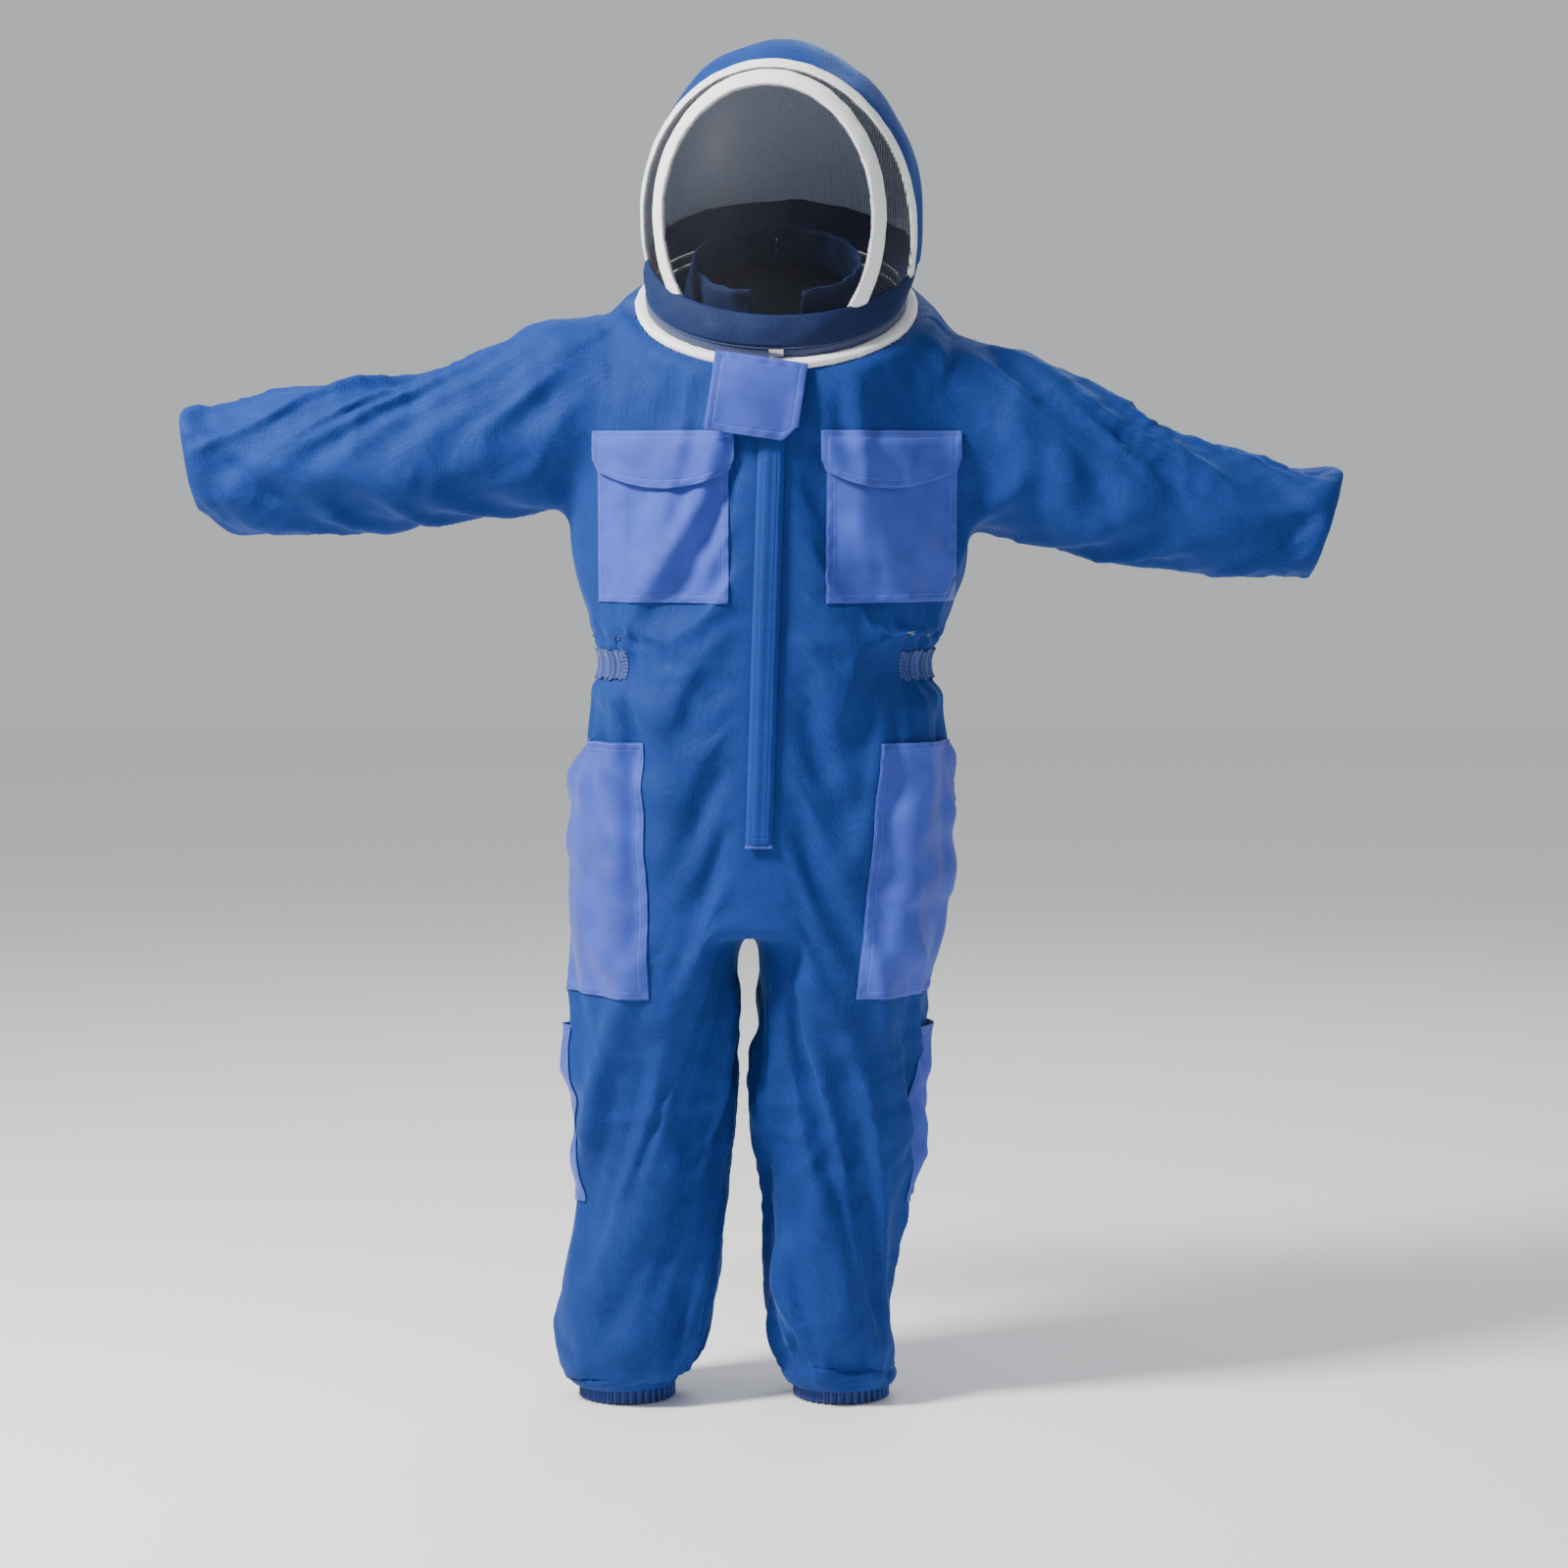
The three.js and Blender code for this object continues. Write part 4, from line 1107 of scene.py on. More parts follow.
    def build(self) -> BVHTree:
        """Makes the coverall.

        Returns:
            The outer skin, for pockets and flaps to lie on.
        """
        skin = self.rough()
        LOG.info("skin of %d points", len(skin.data.vertices))
        self.settle(skin)
        smooth = skin.modifiers.new("Smooth", "SUBSURF")
        smooth.levels = smooth.render_levels = 1
        apply_modifiers(skin)
        bm = bmesh.new()
        bm.from_mesh(skin.data)
        self.fold(bm)
        for _ in range(2):
            bmesh.ops.smooth_vert(bm, verts=bm.verts, factor=0.5, use_axis_x=True, use_axis_y=True, use_axis_z=True)
        bm.normal_update()
        self.gather_waist(bm)
        bmesh.ops.smooth_vert(bm, verts=bm.verts, factor=0.4, use_axis_x=True, use_axis_y=True, use_axis_z=True)
        self.open_ends(bm)
        bm.to_mesh(skin.data)
        bm.free()
        surface = tree_of(skin)
        skin.data.materials.append(self.cloth)
        skin.data.materials.append(self.lining)
        self.divide(skin)
        return surface

    def attach(self) -> None:
        """Attaches the trunk to its body, fixes the other lengths where they lie and hides the frame nodes they
        replace.
        """
        trunk = self.pieces["coverall_trunk"]
        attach(trunk, "trunk")
        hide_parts(*[n for n in self.TRUNK_NODES if n.startswith(("front", "back"))], "crotch_gusset")
        for side, arm in ARMS.items():
            word = side.word
            upper, lower = self.pieces[f"sleeve_upper_{word}"], self.pieces[f"sleeve_lower_{word}"]
            arm.at(self.arm_cut)
            arm.at(self.elbow_cut - 0.004)
            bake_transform(upper)
            arm.at(self.elbow_cut)
            arm.at(self.elbow_end)
            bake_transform(lower)
            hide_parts(f"sleeve_head_{word}", f"upper_sleeve_{word}")
            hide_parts(f"elbow_{word}", f"forearm_{word}")
            upper, lower = self.pieces[f"trouser_upper_{word}"], self.pieces[f"trouser_lower_{word}"]
            self.bend_at_hip(upper, side)
            self.bend_at_knee(lower, side)
            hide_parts(f"seat_{word}", f"thigh_top_{word}", f"thigh_{word}")
            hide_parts(f"knee_{word}", f"shin_{word}")

    def bend_at_hip(self, piece: bpy.types.Object, side: Side) -> None:
        """Fixes a piece between the trunk and a thigh where it lies."""
        start = self.hip_start()
        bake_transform(piece)

    def bend_at_knee(self, piece: bpy.types.Object, side: Side) -> None:
        """Fixes a piece between a thigh and its shin where it lies."""
        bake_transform(piece)


# ------------------------------------------------------------------ patches that lie on the skin


@dataclass
class Patch:
    """A piece of pocket cloth laid on the skin: a grid between four edges, cast onto it and lifted."""

    name: str
    outline: Callable[[float, float], tuple[Vector, Vector]]
    width: float
    height: float
    lift: Callable[[float, float], float]
    thickness: float = 0.0014
    pitch: float = 0.0028
    relax: int = 2

    def build(self, surface: BVHTree, material: bpy.types.Material) -> bpy.types.Object:
        """Lays the patch on the skin.

        Args:
            surface: the skin.
            material: its cloth.

        Returns:
            The piece.
        """
        columns = max(2, round(self.width / self.pitch))
        rows = max(2, round(self.height / self.pitch))
        bm = bmesh.new()
        bmesh.ops.create_grid(bm, x_segments=columns, y_segments=rows, size=0.5)
        flat = bm.loops.layers.uv.new("flat")
        edge = bm.loops.layers.uv.new("edge")
        for face in bm.faces:
            middle = face.calc_center_median()
            for loop in face.loops:
                u, v = loop.vert.co.x + 0.5, loop.vert.co.y + 0.5
                loop[flat].uv = (u * self.width, v * self.height)
                loop[edge].uv = self.edge_coordinates(u, v, middle.x + 0.5, middle.y + 0.5)
        shares = {v: (v.co.x + 0.5, v.co.y + 0.5) for v in bm.verts}
        depths: dict[bmesh.types.BMVert, float] = {}
        for vert, (u, v) in shares.items():
            start, aim = self.outline(u, v)
            found = cast(surface, start, aim)
            if found:
                depths[vert] = (found[0] - start).dot(aim)
        missed = [v for v in bm.verts if v not in depths]
        while missed and depths:
            for vert in missed:
                near = [depths[e.other_vert(vert)] for e in vert.link_edges if e.other_vert(vert) in depths]
                if near:
                    depths[vert] = sum(near) / len(near)
            missed = [v for v in missed if v not in depths]
        for vert, (u, v) in shares.items():
            start, aim = self.outline(u, v)
            vert.co = start + aim * depths[vert]
        for _ in range(self.relax):
            inner = [v for v in bm.verts if not v.is_boundary]
            bmesh.ops.smooth_vert(bm, verts=inner, factor=0.5, use_axis_x=True, use_axis_y=True, use_axis_z=True)
        for vert, (u, v) in shares.items():
            _, aim = self.outline(u, v)
            vert.co -= aim * self.lift(u, v)
        bmesh.ops.recalc_face_normals(bm, faces=bm.faces)
        aim = self.outline(0.5, 0.5)[1]
        bm.normal_update()
        if sum(f.normal.dot(aim) for f in bm.faces) > 0:
            bmesh.ops.reverse_faces(bm, faces=bm.faces)
        piece = finish_mesh(self.name, bm, material)
        thicken(piece, self.thickness, -1.0)
        return piece

    def edge_coordinates(self, u: float, v: float, mu: float, mv: float) -> tuple[float, float]:
        """How far along and in from the nearest edge a grid point is.

        Args:
            u: its share across.
            v: its share up.
            mu: its face's share across.
            mv: its face's share up.

        Returns:
            The run along the edge and the distance in from it.
        """
        sides = (mu * self.width, (1 - mu) * self.width)
        ends = (mv * self.height, (1 - mv) * self.height)
        if min(sides) < min(ends):
            return v * self.height, (u if sides[0] < sides[1] else 1 - u) * self.width
        return u * self.width, (v if ends[0] < ends[1] else 1 - v) * self.height


def pucker(along: float, inward: float, depth: float = 0.0024) -> float:
    """The small rise and fall of cloth between two rows of stitches.

    Args:
        along: the run along the edge.
        inward: the distance in from it.
        depth: its size.

    Returns:
        The height.
    """
    if inward > 0.013:
        return 0.0
    swell = math.sin(math.pi * min(1.0, inward / 0.011))
    return depth * swell * noise.noise(Vector((along * 85, inward * 30, 3.7)))


@dataclass
class Pockets:
    """The chest pockets with their flaps, the hip pockets and the tool pockets."""

    cloth: bpy.types.Material
    hooks: bpy.types.Material
    coverall: Coverall
    puff: float = 0.0045
    depth_start: float = -0.4

    def front_grid(self, low: Vector, high: Vector) -> Callable[[float, float], tuple[Vector, Vector]]:
        """Rays that fall on the skin from in front of a box.

        Args:
            low: the box's lowest corner.
            high: its highest corner.

        Returns:
            The ray for each share across and up.
        """

        def ray(u: float, v: float) -> tuple[Vector, Vector]:
            """The ray at a share across and up."""
            x = low.x + (high.x - low.x) * u
            return Vector((x, self.depth_start, low.z + (high.z - low.z) * v)), Vector((0, 1, 0))

        return ray

    def swell(self, width: float, height: float, seed: float, puff: float) -> Callable[[float, float], float]:
        """How a sewn-down pocket stands off: flat at its seams, soft in its middle.

        Args:
            width: its width.
            height: its height.
            seed: a number that makes its creases its own.
            puff: how far its middle stands out.

        Returns:
            The lift at each share across and up.
        """

        def lift(u: float, v: float) -> float:
            """The lift at a share across and up."""
            side = min(u, 1 - u) * width
            end = v * height
            inward = min(side, end, (1 - v) * height)
            rise = 0.0016 + puff * smoothstep(side, 0.006, 0.05) * smoothstep(end, 0.006, 0.06)
            run = v * height if side < min(end, (1 - v) * height) else u * width
            crease = noise.noise(Vector((u * width * 26 + v * 5, v * height * 13 - u * 4, seed)))
            rise += 0.0034 * crease * smoothstep(inward, 0.006, 0.035)
            hem = 0.0009 * (1 - smoothstep(inward, 0.009, 0.0125))
            return max(0.0012, rise + hem + pucker(run, inward))

        return lift

    def chest(self, surface: BVHTree, side: Side) -> None:
        """Makes a chest pocket, its flap and its hook-and-loop tape.

        Args:
            surface: the skin.
            side: the wearer's side.
        """
        word = side.word
        low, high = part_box(f"chest_pocket_{word}")
        width, height = high.x - low.x + 0.012, high.z - low.z
        pocket = Patch(
            f"chest_pocket_cloth_{word}",
            self.front_grid(low, high),
            width,
            height,
            self.swell(width, height, side.value * 2.3, self.puff),
        ).build(surface, self.cloth)
        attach(pocket, "trunk")
        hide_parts(f"chest_pocket_{word}")
        beneath = tree_of(pocket)
        low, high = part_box(f"pocket_loop_tape_{word}")
        tape = Patch(
            f"hook_tape_{word}", self.front_grid(low, high), high.x - low.x, high.z - low.z, lambda u, v: 0.0012, 0.001
        ).build(beneath, self.hooks)
        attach(tape, "trunk")
        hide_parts(f"pocket_loop_tape_{word}")
        low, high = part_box(f"chest_flap_{word}")
        straight, belly = 0.046, 0.024
        round_off = 0.10

        def ray(u: float, v: float) -> tuple[Vector, Vector]:
            """The ray for the flap, whose lower edge is bowed and rounded at its corners."""
            across = 2 * u - 1
            corner = smoothstep(abs(across), 1 - round_off, 1.0)
            drop = straight + belly * (1 - across * across) - 0.012 * corner * corner
            x = low.x + (high.x - low.x) * u
            return Vector((x, self.depth_start, high.z - (1 - v) * drop)), Vector((0, 1, 0))

        def lift(u: float, v: float) -> float:
            """How the flap stands off the pocket: sewn at the top, curling a little at the hem."""
            down = 1 - v
            inward = min(min(u, 1 - u) * 0.17, v * 0.065)
            rise = 0.0030 + 0.0046 * smoothstep(down, 0.0, 0.45)
            rise += 0.0022 * noise.noise(Vector((u * 4.3, v * 1.7, side.value * 7.1))) * down
            return rise + pucker(u * 0.17, inward)

        flap = Patch(f"chest_flap_cloth_{word}", ray, high.x - low.x, 0.066, lift, relax=6).build(
            self.over(surface, beneath), self.cloth
        )
        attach(flap, f"chest_flap_{word}")
        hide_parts(f"chest_flap_{word}")

    @staticmethod
    def over(surface: BVHTree, nearer: BVHTree) -> "Layers":
        """Two surfaces as one for rays, the nearer hit counting."""
        return Layers([surface, nearer])

    def wrapped(self, low: Vector, high: Vector, centre: Vector, turns: Callable[[float], tuple[float, float]]) -> Callable:
        """Rays that fall on the skin from around an upright line.

        Args:
            low: the lowest corner of the pocket's box.
            high: the highest corner.
            centre: a point on the line.
            turns: the two angles between which a height's row runs.

        Returns:
            The ray for each share across and up.
        """

        def ray(u: float, v: float) -> tuple[Vector, Vector]:
            """The ray at a share across and up."""
            z = low.z + (high.z - low.z) * v
            first, last = turns(v)
            turn = first + (last - first) * u
            aim = Vector((-math.sin(turn), math.cos(turn), 0))
            return Vector((centre.x, centre.y, z)) - aim * 0.45, aim

        return ray

    def hip(self, surface: BVHTree, side: Side) -> None:
        """Makes a hip pocket with its slanted hand slit.

        Args:
            surface: the skin.
            side: the wearer's side.
        """
        word = side.word
        low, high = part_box(f"hip_pocket_{word}")
        centre = Vector((self.coverall.centre(-0.66) + side.value * 0.10, -0.01, 0))
        inner_x = low.x if side is Side.LEFT else high.x
        slant = {Side.RIGHT: (0.0, 0.012), Side.LEFT: (0.004, 0.034)}[side]

        def turns(v: float) -> tuple[float, float]:
            """The angles of a row, from the front edge round to the side."""
            front = abs(inner_x - centre.x) + slant[0] + (slant[1] - slant[0]) * v
            first = math.atan2(front, 0.13)
            slit = 0.30 * smoothstep(v, 0.70, 0.98)
            return side.value * first, side.value * (math.pi / 2 + 0.10 - slit)

        width, height = 0.155, high.z - low.z
        base = self.swell(width, height, side.value * 5.9, 0.006)

        def lift(u: float, v: float) -> float:
            """The pocket's lift, with its hand slit standing open a little."""
            gape = smoothstep(u, 0.80, 1.0) * smoothstep(v, 0.62, 0.8) * (1 - smoothstep(v, 0.93, 1.0))
            return base(u, v) + 0.008 * gape

        pocket = Patch(
            f"hip_pocket_cloth_{word}", self.wrapped(low, high, centre, turns), width, height, lift, relax=4
        ).build(surface, self.cloth)
        self.coverall.bend_at_hip(pocket, side)
        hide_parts(f"hip_pocket_{word}")

    def tool(self, surface: BVHTree, side: Side) -> None:
        """Makes the pocket on the outer side of a leg.

        Args:
            surface: the skin.
            side: the wearer's side.
        """
        word = side.word
        low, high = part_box(f"tool_pocket_{word}")
        centre = Vector(((low.x + high.x) / 2 - side.value * 0.06, 0.0, 0))
        width, height = 0.165, high.z - low.z

        def turns(v: float) -> tuple[float, float]:
            """The angles of every row, from just before the side round to the back."""
            return side.value * 62 * RADIAN, side.value * 152 * RADIAN

        pocket = Patch(
            f"tool_pocket_cloth_{word}",
            self.wrapped(low, high, centre, turns),
            width,
            height,
            self.swell(width, height, side.value * 9.4, 0.008),
            relax=4,
        ).build(surface, self.cloth)
        self.coverall.bend_at_knee(pocket, side)
        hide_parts(f"tool_pocket_{word}")

    def build(self, surface: BVHTree) -> None:
        """Makes every pocket.

        Args:
            surface: the skin.
        """
        for side in Side:
            self.chest(surface, side)
            self.hip(surface, side)
            self.tool(surface, side)


class Layers:
    """Several ray trees that answer as one."""

    def __init__(self, trees: Iterable[BVHTree]) -> None:
        """Keeps the trees."""
        self.trees = list(trees)

    def ray_cast(self, start: Vector, aim: Vector) -> tuple:
        """The nearest hit in any tree.

        Args:
            start: where the ray starts.
            aim: its direction.

        Returns:
            The hit as a tree gives it.
        """
        hits = [tree.ray_cast(start, aim) for tree in self.trees]
        found = [h for h in hits if h[0] is not None]
        return min(found, key=lambda h: h[3]) if found else (None, None, None, None)


# ------------------------------------------------------------------ neck, zips and flaps


@dataclass
class Neckline:
    """The binding, the hood zip, the inner facing, the collar and the flap over the zips' meeting."""

    white: bpy.types.Material
    tape: bpy.types.Material
    navy: bpy.types.Material
    poplin: bpy.types.Material
    steps: int = 144
    collar_radius: float = 0.116
    collar_rise: tuple[float, float] = (0.008, 0.070)

    def sweep(
        self,
        name: str,
        profile: Sequence[tuple[float, float]],
        material: bpy.types.Material,
        first: float = 0.0,
        last: float = 2 * math.pi,
        shape: Callable[[float, float, float], tuple[float, float]] | None = None,
    ) -> bpy.types.Object:
        """Spins a closed section round the neck ring.

        Args:
            name: the piece's name.
            profile: the section, as reaches out from the ring and rises up from it.
            material: its finish.
            first: the angle it starts at.
            last: the angle it ends at.
            shape: moves a point, given its angle, reach and rise, to another reach and rise.

        Returns:
            The piece.
        """
        whole = last - first > 2 * math.pi - 1e-6
        bm = bmesh.new()
        loop = [bm.verts.new((0, -(RING.radius + out), rise)) for out, rise in profile]
        edges = [bm.edges.new((a, b)) for a, b in zip(loop, loop[1:] + loop[:1])]
        count = max(4, round(self.steps * (last - first) / (2 * math.pi)))
        bmesh.ops.rotate(bm, verts=loop, cent=(0, 0, 0), matrix=Matrix.Rotation(first, 3, "Z"))
        bmesh.ops.spin(
            bm, geom=[*loop, *edges], cent=(0, 0, 0), axis=(0, 0, 1), angle=last - first, steps=count, use_merge=whole
        )
        if not whole:
            open_edges = [e for e in bm.edges if e.is_boundary]
            bmesh.ops.holes_fill(bm, edges=open_edges, sides=0)
        run = bm.loops.layers.uv.new("edge")
        flat = bm.loops.layers.uv.new("flat")
        for face in bm.faces:
            middle = face.calc_center_median()
            home = math.atan2(middle.x, -middle.y)
            for corner in face.loops:
                co = corner.vert.co
                turn = math.atan2(co.x, -co.y)
                turn += 2 * math.pi * round((home - turn) / (2 * math.pi))
                out = math.hypot(co.x, co.y) - RING.radius
                corner[run].uv = (turn * RING.radius, co.z + 0.3 * out)
                corner[flat].uv = (turn * RING.radius, co.z)
        for vert in bm.verts:
            turn = math.atan2(vert.co.x, -vert.co.y)
            reach = math.hypot(vert.co.x, vert.co.y) - RING.radius
            if shape:
                reach, rise = shape(turn, reach, vert.co.z)
                vert.co = Vector(((RING.radius + reach) * math.sin(turn), -(RING.radius + reach) * math.cos(turn), rise))
        bmesh.ops.recalc_face_normals(bm, faces=bm.faces)
        bmesh.ops.transform(bm, verts=bm.verts, matrix=RING.frame)
        return finish_mesh(name, bm, material)

    @staticmethod
    def rounded(out: tuple[float, float], rise: tuple[float, float], sides: int = 16, square: float = 3.2) -> list[tuple[float, float]]:
        """A rounded section between two reaches and two rises.

        Args:
            out: its reaches.
            rise: its rises.
            sides: its corners.
            square: how square it is.

        Returns:
            The section.
        """
        middle = ((out[0] + out[1]) / 2, (rise[0] + rise[1]) / 2)
        half = ((out[1] - out[0]) / 2, (rise[1] - rise[0]) / 2)
        points: list[tuple[float, float]] = []
        for i in range(sides):
            turn = 2 * math.pi * (i + 0.5) / sides
            c, s = math.cos(turn), math.sin(turn)
            points.append(
                (
                    middle[0] + half[0] * math.copysign(abs(c) ** (2 / square), c),
                    middle[1] + half[1] * math.copysign(abs(s) ** (2 / square), s),
                )
            )
        return points

    def build(self) -> None:
        """Makes the neckline's pieces."""

        def ruffle(turn: float, reach: float, rise: float) -> tuple[float, float]:
            """The binding's small unevenness."""
            wave = noise.noise(Vector((math.sin(turn) * 9, math.cos(turn) * 9, 1.1)))
            return reach + 0.0008 * wave, rise + 0.0009 * noise.noise(Vector((math.sin(turn) * 14, math.cos(turn) * 14, 5)))

        binding = self.sweep("neck_binding_cloth", self.rounded((-0.0085, 0.0085), (-0.003, 0.0085)), self.white, shape=ruffle)
        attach(binding, "trunk")
        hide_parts("neck_binding")
        lower = self.sweep("hood_tape_lower", self.rounded((-0.0075, -0.0055), (0.0080, 0.0192), 8), self.tape)
        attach(lower, "trunk")
        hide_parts("hood_zip_tape_lower")
        coil = self.sweep("hood_coil", self.rounded((-0.0077, -0.0045), (0.0193, 0.0213), 8, 2.2), self.tape)
        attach(coil, "hood")
        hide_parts("hood_zip_chain")
        facing = self.sweep("neck_facing_cloth", self.rounded((-0.052, -0.0085), (0.0035, 0.0068), 12), self.navy)
        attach(facing, "trunk")
        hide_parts("neck_facing")
        self.collar()
        self.flap()

    def collar(self) -> None:
        """Makes the two halves of the stand collar, open in front and turned out at their points."""
        foot = self.collar_radius - RING.radius
        low, high = self.collar_rise
        section: list[tuple[float, float]] = []
        rows = 9
        for i in range(rows + 1):
            section.append((foot, low + (high - low) * i / rows))
        for i in range(rows, -1, -1):
            section.append((foot - 0.0034, low + (high - low) * i / rows))
        for side in Side:

            def shape(turn: float, reach: float, rise: float) -> tuple[float, float]:
                """Leans, waves and turns out the collar."""
                up = (rise - low) / (high - low)
                front = 1 - smoothstep(abs(turn), 16 * RADIAN, 62 * RADIAN)
                wave = noise.noise(Vector((math.sin(turn) * 5, math.cos(turn) * 5, up * 2)))
                lean = -0.012 * up + 0.020 * front * up * up + 0.007 * wave * up
                top = 0.006 * front * up - 0.010 * up * (1 - front) * 0.5
                return reach + lean, rise + top

            first, last = 15 * RADIAN, math.pi - 0.004
            if side is Side.RIGHT:
                first, last = -last, -first
            half = self.sweep(f"collar_{side.word}", section, self.navy, first, last, shape)
            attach(half, "trunk")
            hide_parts(f"stand_collar_{side.word}")

    def flap(self) -> None:
        """Makes the square flap that hangs over the meeting of the zips."""
        hinge = joint("neck_flap_lift")
        top = Vector(hinge["pos_m"])
        across = -Vector(hinge["axis"])
        down = Vector((0, -1, 0)).cross(across).normalized()
        if down.z > 0:
            down = -down
        width, height = 0.112, 0.096

        def ray(u: float, v: float) -> tuple[Vector, Vector]:
            """The ray for the flap, with one lower corner rounded off."""
            x, fall = (u - 0.5) * width, (1 - v) * height
            if x > width / 2 - 0.022:
                fall *= 1 - 0.20 * smoothstep(x, width / 2 - 0.022, width / 2) ** 1.5
            point = top + across * x + down * fall
            return Vector((point.x, -0.4, point.z)), Vector((0, 1, 0))

        def lift(u: float, v: float) -> float:
            """How the flap stands off what it covers."""
            inward = min(min(u, 1 - u) * width, min(v, 1 - v) * height)
            curl = 0.004 * smoothstep(abs(2 * u - 1), 0.6, 1.0) * (1 - v)
            rise = 0.0004 + 0.001 * (1 - v) + curl
            return rise + 0.0022 * noise.noise(Vector((u * 2.6, v * 2.2, 4.4))) + pucker(u * width, inward)

        rests = tree_of(frame["nodes"]["neck_flap"])
        piece = Patch("neck_flap_cloth", ray, width, height, lift, relax=4).build(rests, self.poplin)
        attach(piece, "neck_flap")
        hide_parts("neck_flap")
        


@dataclass
class FrontZip:
    """The storm flap, its bar tack, the coil and the slider."""

    cloth: bpy.types.Material
    poplin: bpy.types.Material
    tape: bpy.types.Material
    metal: bpy.types.Material
    coverall: Coverall
    half: float = 0.0165

    def strip(self, low: float, high: float, half: float) -> Callable[[float, float], tuple[Vector, Vector]]:
        """Rays along the front centre line.

        Args:
            low: the lower end.
            high: the upper end.
            half: half its width.

        Returns:
            The ray for each share across and up.
        """

        def ray(u: float, v: float) -> tuple[Vector, Vector]:
            """The ray at a share across and up."""
            z = low + (high - low) * v
            return Vector((self.coverall.centre(z) + (2 * u - 1) * half, -0.4, z)), Vector((0, 1, 0))

        return ray

    def build(self, surface: BVHTree) -> None:
        """Makes the front closing.

        Args:
            surface: the skin.
        """
        low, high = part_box("storm_flap")

        def lift(u: float, v: float) -> float:
            """A soft roll over the coil, sewn down at one edge, free at the other."""
            across = 2 * u - 1
            crown = (1 - across * across) ** 0.55 if abs(across) < 1 else 0.0
            wave = noise.noise(Vector((0.0, v * 11, 2.2)))
            free = 0.0016 * smoothstep(across, 0.3, 1.0) * (1 + wave)
            groove = 0.0012 * math.exp(-((across - 0.12) ** 2) / 0.02)
            return 0.0018 + 0.0078 * crown + free - groove + 0.0007 * wave

        flap = Patch(
            "storm_flap_cloth", self.strip(low.z, high.z, self.half), 2 * self.half, high.z - low.z, lift, pitch=0.0024
        ).build(surface, self.cloth)
        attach(flap, "trunk")
        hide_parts("storm_flap")
        tack = Patch(
            "storm_flap_tack", self.strip(low.z - 0.005, low.z, self.half), 2 * self.half, 0.005, lambda u, v: 0.0075
        ).build(surface, self.poplin)
        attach(tack, "trunk")
        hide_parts("storm_flap_bartack")
        coil = Patch(
            "front_coil",
            self.strip(low.z + 0.001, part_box("zip_chain")[1].z, 0.003),
            0.006,
            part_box("zip_chain")[1].z - low.z,
            lambda u, v: 0.0012 + 0.0006 * math.sin(math.pi * u),
            thickness=0.001,
            pitch=0.0015,
        ).build(surface, self.tape)
        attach(coil, "trunk")
        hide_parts("zip_chain")
        for node in ("zip_slider", "hood_zip_slider"):
            materials = frame["nodes"][node].data.materials
            materials.clear()
            materials.append(self.metal)


